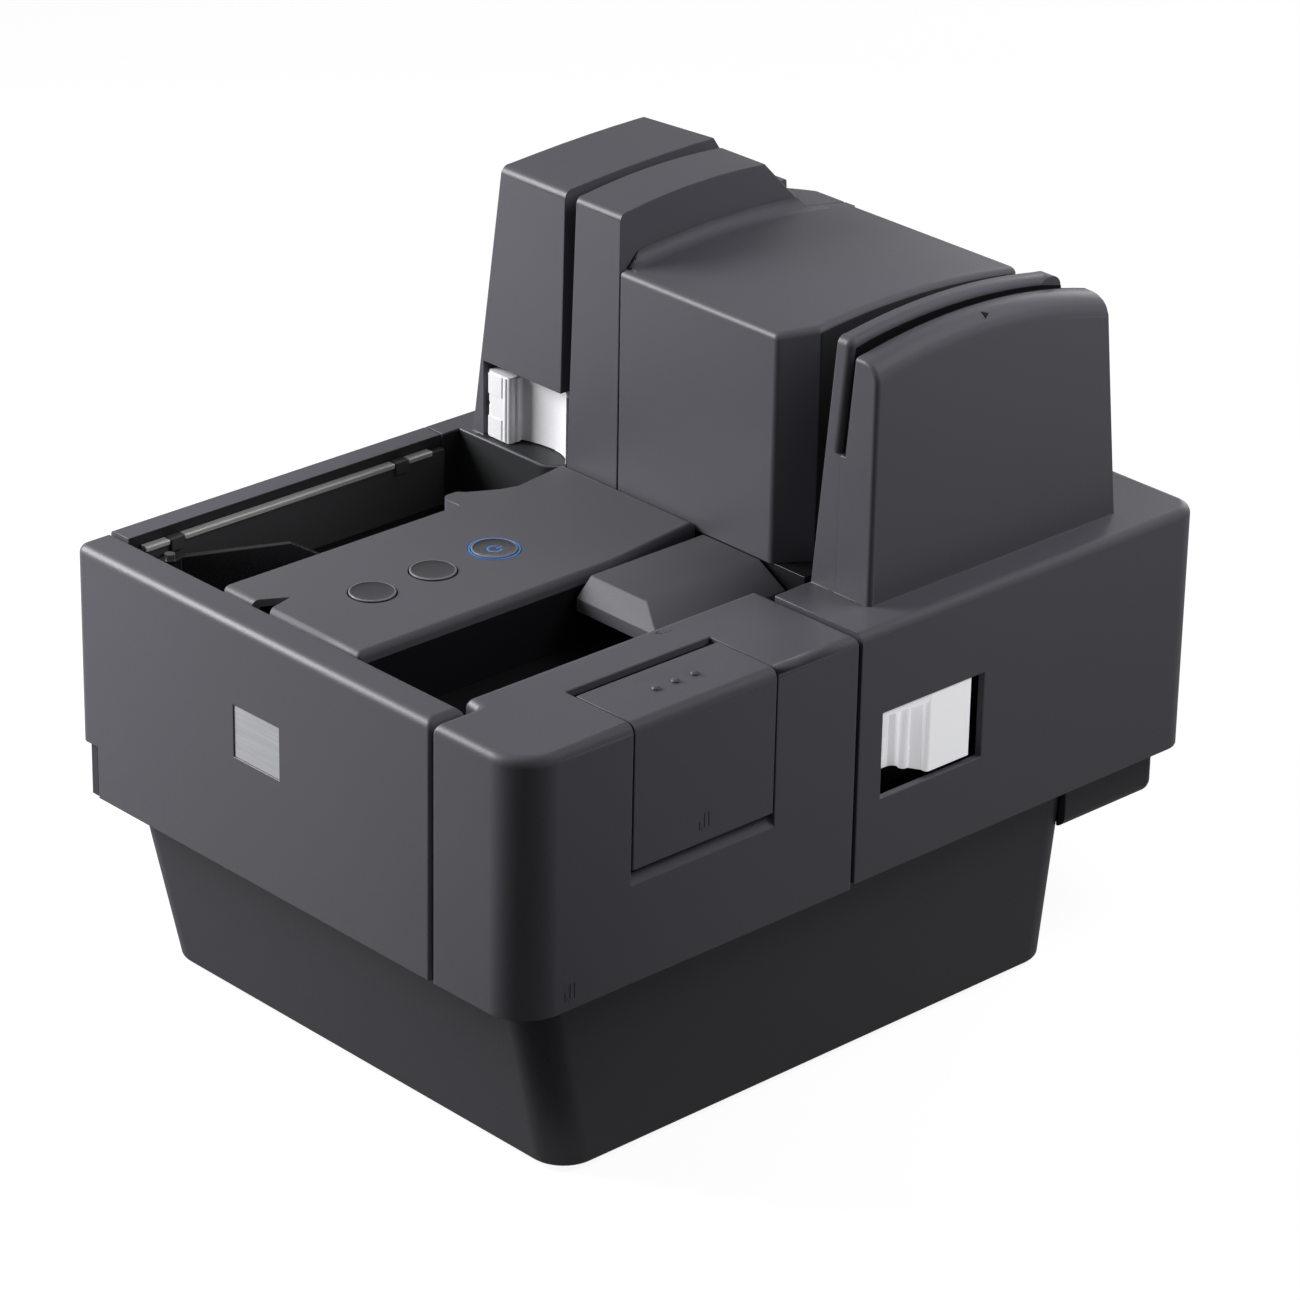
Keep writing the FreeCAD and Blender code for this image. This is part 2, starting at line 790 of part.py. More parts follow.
def cartridge_holder():
    # An open cradle below the hatch that carries the pin in two bearings and stands on the base.
    x0, y0, x1, y1 = holder_box(0)
    pin_x, pin_z = hatch_axis()
    bottom = hatch_bottom
    outer = box(x0, y0, bottom, x1, y1, bottom + holder_height)
    i0, j0, i1, j1 = holder_box(thin_wall)
    cradle = outer.cut(box(i0, j0, bottom + thin_wall, i1, j1, bottom + holder_height + overrun))
    base_top = body_bottom + base_thickness
    middle = (y0 + y1) / 2
    leg = box(x0, middle - post_width, base_top, x0 + post_width * 2, middle + post_width, bottom)
    leg_room = box(x0 + thin_wall, middle - post_width + thin_wall, base_top,
                   x0 + post_width * 2 + overrun, middle + post_width - thin_wall, bottom)
    pieces = [cradle, leg.cut(leg_room)]
    for y in hatch_lug_places():
        pieces.append(box(x1 - thin_wall, y, pin_z - hatch_lug_radius,
                          pin_x, y + thin_wall, pin_z + hatch_lug_radius))
        pieces.append(cylinder_y(pin_x, pin_z, y, y + thin_wall, hatch_lug_radius))
    holder = fused(pieces)
    return holder.cut(cylinder_y(pin_x, pin_z, y0 - overrun, y1 + overrun, hatch_pin_radius + pin_gap))


def print_cartridge():
    # The ink cartridge, with its nozzle block turned towards the track.
    i0, j0, i1, j1 = holder_box(thin_wall + cartridge_gap)
    bottom = hatch_bottom + thin_wall
    top = hatch_bottom + holder_height + cartridge_rise
    body = prism("xy", rectangle(i0, j0, i1, j1, small_round), bottom, top)
    grip = box(i1 - wall, j0 - overrun, top - wall * 2, i1 + overrun, j1 + overrun, top - wall)
    middle = (j0 + j1) / 2
    nozzle_z = hatch_bottom + holder_height + seat_gap
    nozzle = box(i0 - nozzle_width - thin_wall, middle - nozzle_length / 2, nozzle_z,
                 i0 + wall, middle + nozzle_length / 2, top - small_round)
    return fused([body.cut(grip), nozzle])


def transport_deck():
    # The floor on which the cheques stand, from the hopper round the track to the exit pocket.
    left_rear = left_track_outer - post_width * 2
    right_front = exit_right + wall * 2
    right_rear = right_track_outer + post_width
    front = pocket_front + seat_gap
    split = right_seam_y
    points = [(hopper_left + seat_gap, front), (right_front, front), (right_front, split),
              (right_rear, split), (right_rear, turn_start_y, 0), (right_hinge_x - overrun, turn_outer_y),
              (left_hinge_x + overrun * 2, turn_outer_y), (left_rear, turn_start_y),
              (left_rear, hopper_rear - seam), (hopper_left + seat_gap, hopper_rear - seam)]
    deck = prism("xy", points, deck_bottom, track_floor)
    for x, y, radius in shaft_places():
        deck = deck.cut(cylinder(x, y, deck_bottom - overrun, track_floor + overrun,
                                 roller_shaft_radius + pin_gap))
    motor_x, motor_y = motor_place()
    deck = deck.cut(cylinder(motor_x, motor_y, deck_bottom - overrun, track_floor + overrun,
                             motor_pulley_radius + window_gap))
    return deck


def strip_span():
    return pocket_front + strip_front_gap, left_seam_y - seam - strip_rear_gap + wall


def strip_notches():
    start, end = strip_span()
    return [start + (end - start) * share for share in strip_notch_places_share]


def liner_sizes():
    inner = hopper_left + liner_gap
    return inner, inner + thin_wall, body_top - liner_top_drop


def hopper_liner():
    # The black wall inside the hopper, with two clips that hold the wear strip.
    inner, outer, top = liner_sizes()
    end = left_seam_y - seam
    wall_plate = box(inner, pocket_front + seat_gap, track_floor, outer, end, top)
    pieces = [wall_plate]
    for y in strip_notches():
        pieces.append(box(inner, y - clip_width / 2, top - clip_height,
                          outer + strip_thickness + liner_gap, y + clip_width / 2, top + strip_rise))
    return fused(pieces)


def wear_strip():
    # A folded metal strip over the liner's top edge, notched round the two clips.
    inner, outer, top = liner_sizes()
    start, end = strip_span()
    gap = seat_gap / 2
    leg_outer = outer + gap + strip_thickness
    profile = [(inner + gap, top + gap), (outer + gap, top + gap), (outer + gap, top - strip_leg),
               (leg_outer, top - strip_leg), (leg_outer, top + gap + strip_thickness, strip_thickness / 2),
               (inner + gap, top + gap + strip_thickness)]
    strip = prism("xz", profile, start, end)
    for y in strip_notches():
        strip = strip.cut(box(inner - overrun, y - strip_notch_length / 2, top - clip_height - panel_gap,
                              leg_outer + overrun, y + strip_notch_length / 2, body_top))
    return strip


def pusher_pivot():
    return hopper_left + pusher_pivot_inset, pocket_front + pusher_pivot_setback


def pusher_plate():
    # A sprung arm on a vertical pin, high near the pin and low along its reach to the roller.
    px, py = pusher_pivot()
    bottom = track_floor + pusher_floor_gap
    high = bottom + pusher_height
    low = bottom + pusher_low_height
    level = pusher_length * pusher_level_share
    slope = pusher_length * pusher_slope_share
    profile = [(0, bottom), (pusher_length, bottom), (pusher_length, low),
               (slope, low, small_round), (level, high, small_round), (0, high)]
    arm = prism("yz", profile, -pusher_thickness / 2, pusher_thickness / 2)
    pad = box(-pusher_thickness / 2, 0, bottom, pusher_thickness / 2, pusher_pad_length, low)
    pad.rotate(FreeCAD.Vector(0, 0, 0), FreeCAD.Vector(0, 0, 1), pusher_angle)
    pad.translate(FreeCAD.Vector(0, pusher_length, 0))
    hub = cylinder(0, 0, bottom, high, pusher_hub_radius)
    plate = fused([arm, pad, hub])
    plate = plate.cut(cylinder(0, 0, bottom - overrun, high + overrun, pusher_pin_radius + pin_gap))
    plate.rotate(FreeCAD.Vector(0, 0, 0), FreeCAD.Vector(0, 0, 1), -pusher_angle)
    plate.translate(FreeCAD.Vector(px, py, 0))
    return plate


def pusher_pin():
    px, py = pusher_pivot()
    top = track_floor + pusher_floor_gap + pusher_height + small_round
    return cylinder(px, py, track_floor, top, pusher_pin_radius)


def button_places():
    x = panel_right - button_x_inset
    return [(x, front_face + setback) for setback in button_y_setbacks]


def panel_outline():
    # The panel seen from above, with the round guide that covers the feed roller.
    front = pocket_front + seam / 3
    rear = tower_front - seat_gap
    bump_y = hopper_rear - bump_front_setback + seat_gap
    bump_end = bump_y + bump_length
    left = panel_left
    return [(left, front), (panel_right, front, small_round), (panel_right, rear, small_round),
            (left_track_inner, rear), (left_track_inner, bump_end + bump_blend), (left, bump_end),
            (left - bump_reach, bump_y + bump_nose, bump_nose_round),
            (left - bump_reach, bump_y, bump_nose_round),
            (left, bump_y)]


def control_panel():
    # A moulded cover between the pockets that rises to the centre block at its rear.
    points = panel_outline()
    high = body_top + panel_slope_rise
    outer = prism("xy", points, track_floor, high)
    slope_y = tower_front - panel_slope_setback
    roof = prism("yz", [(front_face, track_floor - overrun), (tower_front, track_floor - overrun),
                        (tower_front, high), (slope_y, body_top), (front_face, body_top)],
                 left_side, right_side)
    outer = outer.common(roof)
    outer = rounded(outer, edge_round * 2 / 3,
                    lambda edge: edge.BoundBox.ZMin > body_top - seat_gap
                    and lies_at(edge, "X", panel_right))
    bump_y = hopper_rear - bump_front_setback
    under_bump = box(hopper_left, bump_y - overrun, track_floor - overrun,
                     panel_left, bump_y + bump_length + bump_blend * 2, body_top - bump_height)
    outer = outer.cut(under_bump)
    cavity = box(panel_left + thin_wall, pocket_front + wall, track_floor - overrun,
                 panel_right - wall, tower_front - wall, body_top - wall)
    shell = outer.cut(cavity)
    feed_x, feed_y, radius = feed_roller_place()
    window = cylinder(feed_x, feed_y, track_floor - overrun, roller_top() + window_gap,
                      radius + window_gap)
    bearing = cylinder(feed_x, feed_y, track_floor, roller_top() + wall + running_gap,
                       roller_shaft_radius + pin_gap)
    shell = shell.cut(window).cut(bearing)
    front = pocket_front + seam / 3
    start = panel_left + notch_inset
    notch = prism("xy", [(start, front - overrun), (start + notch_width, front - overrun),
                         (start + notch_width, front), (start + notch_width * 2 / 3,
                                                       front + notch_depth), (start, front)],
                  body_top - wall - overrun, body_top + overrun)
    shell = shell.cut(notch)
    for x, y in button_places():
        shell = shell.cut(cylinder(x, y, body_top - wall - overrun, body_top + overrun,
                                   button_radius + button_gap))
    power_x, power_y = button_places()[-1]
    seat = cylinder(power_x, power_y, body_top - wall / 2, body_top + overrun,
                    button_radius + button_gap + ring_width + pin_gap)
    return shell.cut(seat)


def button(index):
    # A dished cap with a flange under the panel and a stem above its switch.
    x, y = button_places()[index]
    top = body_top + button_dish
    cap = cylinder(x, y, body_top - button_thickness, top, button_radius)
    dish_radius = button_radius - button_rim
    dish = Part.makeCone(dish_radius / 2, dish_radius, button_dish, FreeCAD.Vector(x, y, top - button_dish))
    stem = cylinder(x, y, body_top - button_thickness - button_stem_length,
                    body_top - button_thickness, button_stem_radius)
    flange = cylinder(x, y, body_top - button_thickness - button_rim, body_top - button_thickness,
                      button_radius + button_flange)
    return fused([cap.cut(dish), stem, flange])


def power_ring():
    # The light guide round the rearmost button.
    x, y = button_places()[-1]
    outer = cylinder(x, y, body_top - wall / 2, body_top + seat_gap,
                     button_radius + button_gap + ring_width)
    return outer.cut(cylinder(x, y, body_top - wall, body_top + overrun, button_radius + button_gap))


def button_board():
    # The small board under the panel with one switch below each button.
    places = button_places()
    x = places[0][0]
    stem_bottom = body_top - button_thickness - button_stem_length
    switch_top = stem_bottom - button_travel - seat_gap
    board_top = switch_top - switch_height
    board = box(x - board_width / 2, places[0][1] - board_margin, board_top - board_thickness,
                x + board_width / 2, places[-1][1] + board_margin, board_top)
    pieces = [board]
    for _, y in places:
        pieces.append(box(x - switch_size / 2, y - switch_size / 2, board_top,
                          x + switch_size / 2, y + switch_size / 2, switch_top))
    for y in (places[0][1] - board_margin + wall, places[-1][1] + board_margin - wall):
        pieces.append(box(x - board_width / 2, y - thin_wall / 2, track_floor,
                          x - board_width / 2 + thin_wall, y + thin_wall / 2,
                          board_top - board_thickness))
    return fused(pieces)


def exit_head():
    # The wedge over the mouth of the exit track, sloped to the front and to the right.
    left = panel_right + head_left_gap
    right = right_side - head_right_inset
    front = -head_front_setback
    foot = right + head_side_run
    shape = box(left, front - head_chamfer, body_top - head_height, foot, tower_front - seat_gap, body_top)
    side_cut = prism("xz", [(right, body_top + overrun), (right, body_top),
                            (foot, body_top - head_side_drop), (foot + overrun, body_top - head_side_drop),
                            (foot + overrun, body_top + overrun)],
                     front - head_chamfer * 2, tower_front + overrun)
    front_cut = prism("yz", [(front - head_chamfer - overrun, body_top - head_chamfer - overrun),
                             (front, body_top), (front, body_top + overrun),
                             (front - head_chamfer - overrun, body_top + overrun)],
                      left - overrun, foot + overrun)
    shape = shape.cut(side_cut).cut(front_cut)
    hollow = box(left + thin_wall, front + thin_wall, body_top - head_height - overrun,
                 right - thin_wall, tower_front - thin_wall, body_top - wall)
    leg = box(left, tower_front - head_chamfer, track_floor, left + head_chamfer * 2,
              tower_front - seat_gap, body_top - head_height)
    return fused([shape.cut(hollow), leg])


def block_arc_points():
    # The ends and a middle point of the block's arched top as seen from the side.
    rear = rear_face - block_rear_setback
    peak = tower_front + (rear - tower_front) * block_peak_share
    return (tower_front, block_front_top), (peak, block_peak_top), (rear, block_rear_top)


def block_arc():
    # The block as seen from the side.
    start, through, end = block_arc_points()
    return [(start[0], body_top), (*start, 0, through), end, (end[0], body_top)]


def block_body(inset):
    seam_x = left_side + block_seam_inset
    left = seam_x + block_seam / 2 + inset
    right = right_side - block_right_inset - inset
    corner_x = right_side - block_corner_inset - inset
    front = tower_front + inset
    rear = rear_face - block_rear_setback - inset
    plan = [(left, front), (corner_x, front), (right, front + block_corner_run),
            (right, rear), (left, rear)]
    arch = [(u, v - inset if v > body_top else v - overrun * (inset > 0), *rest)
            for u, v, *rest in block_arc()]
    if inset:
        u, v, radius, through = arch[1]
        arch[1] = (u, v, radius, (through[0], through[1] - inset))
    bottom = body_top - overrun * (inset > 0)
    return prism("xy", plan, bottom, overall_height).common(prism("yz", arch, left_side, right_side))


def centre_block_cover():
    outer = block_body(0)
    left = left_side + block_seam_inset + block_seam / 2
    outer = rounded(outer, block_round,
                    lambda edge: edge.BoundBox.ZMax > body_top + overrun
                    and edge.BoundBox.XMax > left + seat_gap)
    return fused([outer.cut(block_body(wall)), block_blend(left)])


def ridge_side(inset, bottom):
    # The taller part of the block as seen from the side.
    rear = rear_face - block_rear_setback
    length = rear - tower_front
    level = tower_front + length * ridge_level_share
    foot = tower_front + length * ridge_foot_share
    return [(tower_front + inset, bottom),
            (tower_front + inset, ridge_front_top - inset, 0,
             (tower_front + length * ridge_level_share / 2, ridge_peak_top - inset)),
            (level, ridge_rear_top - inset), (foot, block_rear_top + edge_round - inset),
            (rear - inset, block_rear_top - inset), (rear - inset, bottom)]


def block_blend(left):
    # The hollow curve at the foot of the ridge, turned about the centre of the arched top.
    start, through, end = block_arc_points()
    arc = Part.Arc(*[vector("yz", y, z, left) for y, z in (start, through, end)]).toShape()
    centre, radius = arc.Curve.Center, arc.Curve.Radius
    top = centre.z + radius
    near = block_blend_radius * (1 - math.sqrt(0.5))
    profile = [(left, top - wall / 2), (left + block_blend_radius, top - wall / 2),
               (left + block_blend_radius, top, 0, (left + near, top + near)),
               (left, top + block_blend_radius)]
    face = Part.Face(outline("xz", profile, centre.y))
    spread = math.degrees(math.asin((end[0] - start[0]) / radius))
    face.rotate(centre, FreeCAD.Vector(1, 0, 0), spread)
    swept = face.revolve(centre, FreeCAD.Vector(1, 0, 0), -spread * 2)
    front = tower_front + block_round
    side = ridge_side(0, body_top)[2:]
    side = [(front, body_top), (front, block_front_top),
            (front + block_blend_radius * 2, block_front_top + block_blend_radius * 2)] + side
    return swept.common(prism("yz", side, left_side, right_side))


def ridge_body(inset):
    # The taller left part of the block, which follows the leaning track beside it.
    left = left_track_inner + inset
    right = left_side + block_seam_inset - block_seam / 2 - inset
    rear = rear_face - block_rear_setback
    bottom = body_top - overrun * (inset > 0)
    section = [(left, bottom), (left, body_top), (left + ridge_lean, overall_height - inset),
               (right, overall_height - inset), (right, bottom)]
    plan = track_plan(inset)
    body = prism("xz", section, tower_front, rear).common(
        prism("yz", ridge_side(inset, bottom), left_side, right_side))
    return body.common(prism("xy", plan, bottom, overall_height))


def centre_block_ridge():
    outer = ridge_body(0)
    right = left_side + block_seam_inset - block_seam / 2
    outer = rounded(outer, block_round,
                    lambda edge: edge.BoundBox.ZMin > ridge_front_top - overrun
                    and lies_at(edge, "Y", tower_front))
    shell = outer.cut(ridge_body(wall))
    y = tower_front + sensor_setback
    window = box(left_track_inner - overrun, y - seat_gap, track_floor, left_track_inner + wall + overrun,
                 y + sensor_length + seat_gap, body_top + sensor_height + seat_gap - roller_top_gap)
    return shell.cut(window)


def track_plan(inset):
    # The area inside the track: two straight sides joined by the turn's two round corners.
    left, right = left_track_inner + inset, right_track_inner - inset
    rear = turn_inner_y - inset
    return [(left, tower_front), (right, tower_front), (right, rear, turn_radius - inset),
            (left, rear, turn_radius - inset)]


def track_guide():
    # The inner wall of the track, down both sides and round the turn behind the block.
    front = tower_front + seam
    outer = Part.Face(outline("xy", track_plan(0), track_floor))
    inner = outer.makeOffset2D(-guide_thickness)
    height = FreeCAD.Vector(0, 0, body_top - track_floor)
    ring = outer.extrude(height)
    floor_room = inner.extrude(height - FreeCAD.Vector(0, 0, wall))
    guide = ring.cut(floor_room)
    guide = guide.cut(box(left_side, front_face, track_floor, right_side, front, body_top))
    inner_room = box(left_track_inner + guide_thickness * 3, front + guide_thickness * 2,
                     body_top - wall - overrun, right_side - block_right_inset - wall,
                     rear_face - block_rear_setback - wall * 2, body_top + overrun)
    guide = guide.cut(inner_room)
    for x, y, radius in drive_places():
        guide = guide.cut(cylinder(x, y, track_floor - overrun, roller_top() + window_gap,
                                   radius + window_gap))
    y = tower_front + sensor_setback
    guide = guide.cut(box(left_track_inner - overrun, y - seat_gap, track_floor + roller_bottom_gap,
                          left_track_inner + sensor_depth + seat_gap, y + sensor_length + seat_gap,
                          body_top + overrun))
    y = magnet_y()
    return guide.cut(box(left_track_inner - overrun, y - head_size / 2 - seat_gap,
                         track_floor + roller_bottom_gap, left_track_inner + guide_thickness + overrun,
                         y + head_size / 2 + seat_gap, body_top - wall * 2))


def magnet_y():
    return tower_front + magnet_head_setback


def turn_guide():
    # The outer wall of the turn, standing between the two swing covers.
    start = turn_start_y + seam
    outer_radius = turn_radius + track_gap + guide_thickness
    points = [(left_track_outer - guide_thickness, start - overall_depth / 4),
              (right_track_outer + guide_thickness, start - overall_depth / 4),
              (right_track_outer + guide_thickness, turn_outer_y + guide_thickness, outer_radius),
              (left_track_outer - guide_thickness, turn_outer_y + guide_thickness, outer_radius)]
    inside = [(left_track_outer, start - overall_depth / 3), (right_track_outer, start - overall_depth / 3),
              (right_track_outer, turn_outer_y, turn_radius + track_gap),
              (left_track_outer, turn_outer_y, turn_radius + track_gap)]
    ring = prism("xy", points, track_floor, guide_top).cut(prism("xy", inside, 0, overall_height))
    ring = ring.cut(box(left_side, front_face, 0, right_side, start, overall_height))
    x, y, radius = turn_pinch_place()
    return ring.cut(cylinder(x, y, track_floor - overrun, window_top(), radius + window_gap))


def rear_cover():
    # The fixed cover behind the turn, between the knuckles of the two swing covers.
    left = left_hinge_x + knuckle_radius + rear_cover_gap
    right = right_hinge_x - knuckle_radius - rear_cover_gap
    front = turn_outer_y + guide_thickness + seat_gap
    bottom = body_bottom + seam
    outer = box(left, front, bottom, right, rear_face, body_top)
    outer = rounded(outer, edge_round,
                    lambda edge: lies_at(edge, "Z", body_top) and lies_at(edge, "Y", rear_face))
    cavity = box(left - overrun, front - overrun, bottom - overrun, right + overrun, rear_face - wall,
                 body_top - wall)
    cover = outer.cut(cavity)
    spread = turn_radius + track_gap + guide_thickness + seam
    guide_room = prism("xy", [(left_track_outer - guide_thickness - seam, front_face),
                              (right_track_outer + guide_thickness + seam, front_face),
                              (right_track_outer + guide_thickness + seam, front, spread),
                              (left_track_outer - guide_thickness - seam, front, spread)],
                       0, overall_height)
    cover = cover.cut(guide_room)
    x, y, radius = turn_pinch_place()
    cover = cover.cut(cylinder(x, y, 0, window_top(), radius + window_gap))
    for plan in (left_cover_plan(), right_cover_plan()):
        room = Part.Face(outline("xy", plan, track_floor)).makeOffset2D(rear_cover_gap)
        cover = cover.cut(room.extrude(FreeCAD.Vector(0, 0, body_top)))
    return cover


def knuckle_levels():
    # Heights of the knuckles: fixed foot, cover, fixed middle, cover.
    bottom = body_bottom + base_thickness
    top = body_top - wall - panel_gap
    share = (top - bottom) / 4
    return [bottom + share * step for step in range(5)]


def hinge_bracket(side):
    # A fixed bracket on the base plate with the lower and the middle knuckle.
    x = right_hinge_x if side > 0 else left_hinge_x
    levels = knuckle_levels()
    inward = x - side * (knuckle_radius * 2 + rear_cover_gap)
    plate_far = inward - side * thin_wall * 2
    pieces = [box(min(inward, plate_far), hinge_y - knuckle_radius, levels[0],
                  max(inward, plate_far), hinge_y, levels[3] - panel_gap / 2)]
    for low, high in ((levels[0], levels[1]), (levels[2], levels[3])):
        low, high = low + panel_gap / 2 * (low > levels[0]), high - panel_gap / 2
        pieces.append(cylinder(x, hinge_y, low, high, knuckle_radius))
        pieces.append(box(min(x, inward), hinge_y - knuckle_radius, low,
                          max(x, inward), hinge_y, high))
    bracket = fused(pieces)
    return bracket.cut(cylinder(x, hinge_y, 0, overall_height, hinge_pin_radius + pin_gap))


def hinge_pins():
    levels = knuckle_levels()
    return Part.makeCompound([cylinder(x, hinge_y, levels[0], levels[4] - panel_gap, hinge_pin_radius)
                              for x in (left_hinge_x, right_hinge_x)])


def cover_knuckles(side):
    # The cover's own two knuckles, joined to its rear wall.
    x = right_hinge_x if side > 0 else left_hinge_x
    levels = knuckle_levels()
    pieces = []
    for low, high in ((levels[1], levels[2]), (levels[3], levels[4])):
        low, high = low + panel_gap / 2, high - panel_gap / 2
        pieces.append(cylinder(x, hinge_y, low, high, knuckle_radius))
        outward = x + side * knuckle_radius * 2
        pieces.append(box(min(x, outward), hinge_y, low, max(x, outward), rear_face - wall / 2, high))
    return pieces


def with_hinge(shell, side):
    # A cover cleared round the fixed knuckles and given its own, bored for the pin.
    x = right_hinge_x if side > 0 else left_hinge_x
    levels = knuckle_levels()
    for low, high in ((0, levels[1]), (levels[2], levels[3])):
        shell = shell.cut(cylinder(x, hinge_y, low - panel_gap / 2 * (low > 0), high + panel_gap / 2,
                                   knuckle_radius + panel_gap))
    shell = fused([shell] + cover_knuckles(side))
    return shell.cut(cylinder(x, hinge_y, 0, levels[4] - panel_gap / 2, hinge_pin_radius + pin_gap))


def tower_side(front, rear_lean, tops, inset, bottom):
    # The side view of a tower from its top line.
    rear = rear_face - tower_rear_setback
    points = [(front + inset, bottom)]
    points += tops
    points.append((rear - inset, body_top))
    if bottom < body_top:
        points.append((rear - inset, bottom))
    return points


def left_tower_body(inset):
    bottom = body_top - wall * 2
    rear = rear_face - tower_rear_setback
    level = tower_front + left_tower_level
    rise = overall_height - inset
    tops = [(tower_front + inset, left_tower_front_top - inset, 0, (tower_front + left_tower_level / 2,
                                                                  rise - small_round / 2)),
            (level - inset, rise), (rear - tower_rear_lean - inset, rise)]
    side = tower_side(tower_front, tower_rear_lean, tops, inset, bottom)
    outer_low = left_side + left_tower_outer_inset + inset
    outer_high = left_side + left_tower_top_inset + inset
    section = [(outer_low, bottom), (outer_low, body_top), (outer_high, overall_height),
               (left_track_outer + left_tower_inner_lean - inset, overall_height),
               (left_track_outer - inset, body_top), (left_track_outer - inset, bottom)]
    body = prism("yz", side, left_side, right_side).common(prism("xz", section, front_face, rear_face))
    return body.cut(left_tower_rear(inset))


def left_tower_rear(inset):
    # The room above the shoulder behind the tower's level top, along a slanting edge.
    level = tower_front + left_tower_level - inset
    shoulder = level + left_tower_shoulder_run
    top = overall_height + overrun
    profile = [(level, top), (level, overall_height - inset), (shoulder, left_tower_shoulder - inset),
               (rear_face - tower_rear_setback, left_tower_rear_top - inset),
               (rear_face * 2, left_tower_rear_top - inset), (rear_face * 2, top)]
    room = prism("yz", profile, left_side * 2, right_side)
    room.rotate(FreeCAD.Vector(left_track_outer, level, 0), FreeCAD.Vector(0, 0, 1), left_tower_rear_angle)
    return room


def left_cover_plan():
    step = left_track_outer - guide_clearance
    end = left_hinge_x + knuckle_radius
    front = left_seam_y + seam / 2
    return [(left_side, front), (hopper_left, front), (hopper_left, hopper_rear),
            (left_track_outer, hopper_rear, ledge_round), (left_track_outer, turn_start_y),
            (step, turn_start_y), (step, turn_outer_y - knuckle_radius),
            (end, hinge_y + end - step), (end, rear_face, knuckle_radius - seat_gap),
            (left_side, rear_face, corner_round)]


def ledge_corner():
    # What is taken off the ledge below the left lever to round its corner at the track.
    x, y = left_track_outer - ledge_round, hopper_rear + ledge_round
    corner_block = box(x, hopper_rear - overrun, track_floor, left_track_outer + overrun, y, body_top)
    return corner_block.cut(cylinder(x, y, track_floor, body_top, ledge_round))


def left_cover():
    # The left swing cover and its tower, hollow above the deck and a plain skirt below it.
    plan = left_cover_plan()
    low = prism("xy", plan, left_cover_bottom, body_top)
    low = rounded(low, side_edge_round,
                  lambda edge: lies_at(edge, "Z", body_top)
                  and (lies_at(edge, "X", left_side) or lies_at(edge, "Y", rear_face)
                       or edge.BoundBox.XMax < left_side + corner_round + seat_gap
                       and edge.BoundBox.YMin > rear_face - corner_round - seat_gap))
    tower = left_tower_body(0)
    tower = rounded(tower, tower_round,
                    lambda edge: edge.BoundBox.ZMin > left_tower_rear_top - overrun
                    and lies_at(edge, "Y", tower_front))
    outer = fused([low, tower]).cut(ledge_corner())
    step_room = box(left_track_outer - guide_clearance, turn_start_y, track_floor,
                    right_side, rear_face - turn_setback / 2, overall_height + overrun)
    outer = outer.cut(step_room)
    under = prism("xy", [(left_side + wall, left_seam_y), (overall_width, left_seam_y),
                         (overall_width, rear_face - wall), (left_side + wall, rear_face - wall,
                                                            corner_round - wall)],
                  left_cover_bottom - overrun, track_floor + panel_gap)
    strip_keep = box(left_side, left_seam_y, left_cover_bottom, hopper_left, left_seam_y + seam / 2 + wall,
                     track_floor + panel_gap)
    shell = outer.cut(under.cut(strip_keep))
    inner_low = Part.Face(outline("xy", plan, track_floor)).makeOffset2D(-wall)
    inner_low = inner_low.extrude(FreeCAD.Vector(0, 0, body_top - wall - track_floor))
    shell = shell.cut(inner_low)
    tower_room = left_tower_body(wall).cut(
        box(left_track_outer - guide_clearance - wall, turn_start_y - wall, 0,
            right_side, rear_face, overall_height + overrun))
    ledge = box(left_side, front_face, body_top - wall, left_track_outer + overrun,
                tower_front + left_lever_depth + wall, body_top)
    shell = shell.cut(tower_room.cut(ledge))
    opening = box(left_track_outer - left_lever_opening_width, tower_front - overrun, body_top,
                  left_track_outer + overrun, tower_front + left_lever_depth + wall,
                  body_top + left_lever_opening_height)
    shell = shell.cut(opening)
    y = tower_front + sensor_setback
    window = box(left_track_outer - wall - overrun, y - seat_gap, track_floor,
                 right_side, y + sensor_length + seat_gap,
                 body_top + sensor_height + seat_gap - roller_top_gap)
    shell = shell.cut(window)
    x, y, radius = pinch_place(-1)
    shell = shell.cut(box(x, y - radius - window_gap, track_floor, left_track_inner,
                          y + radius + window_gap, window_top()))
    return with_hinge(shell, -1)


def left_lever():
    # A pale lever with a square grip, a finger hollow and a curved return.
    right = left_track_outer - running_gap
    left = left_track_outer - left_lever_opening_width + left_lever_travel + lever_clearance
    front = tower_front + left_lever_setback
    back = front + left_lever_depth
    bottom = body_top + running_gap
    grip = left + lever_grip_width
    hollow_mid = (grip + lever_thickness + right) / 2
    points = [(left, front, small_round), (grip, front, small_round),
              (grip, back - lever_thickness * 2, 0, ((grip + hollow_mid) / 2,
                                                   back - lever_thickness * 5 / 4)),
              (hollow_mid, back - lever_thickness, 0, ((hollow_mid + right) / 2,
                                                      back - lever_thickness * 3 / 2)),
              (right, front + lever_thickness), (right, back, 0), (left, back)]
    body = prism("xy", points, bottom, bottom + left_lever_height)
    groove_z = bottom + left_lever_height * lever_groove_share
    groove = box(left - overrun, front - overrun, groove_z - small_round / 2,
                 left + small_round, front + small_round / 2, groove_z + small_round / 2)
    return body.cut(groove)


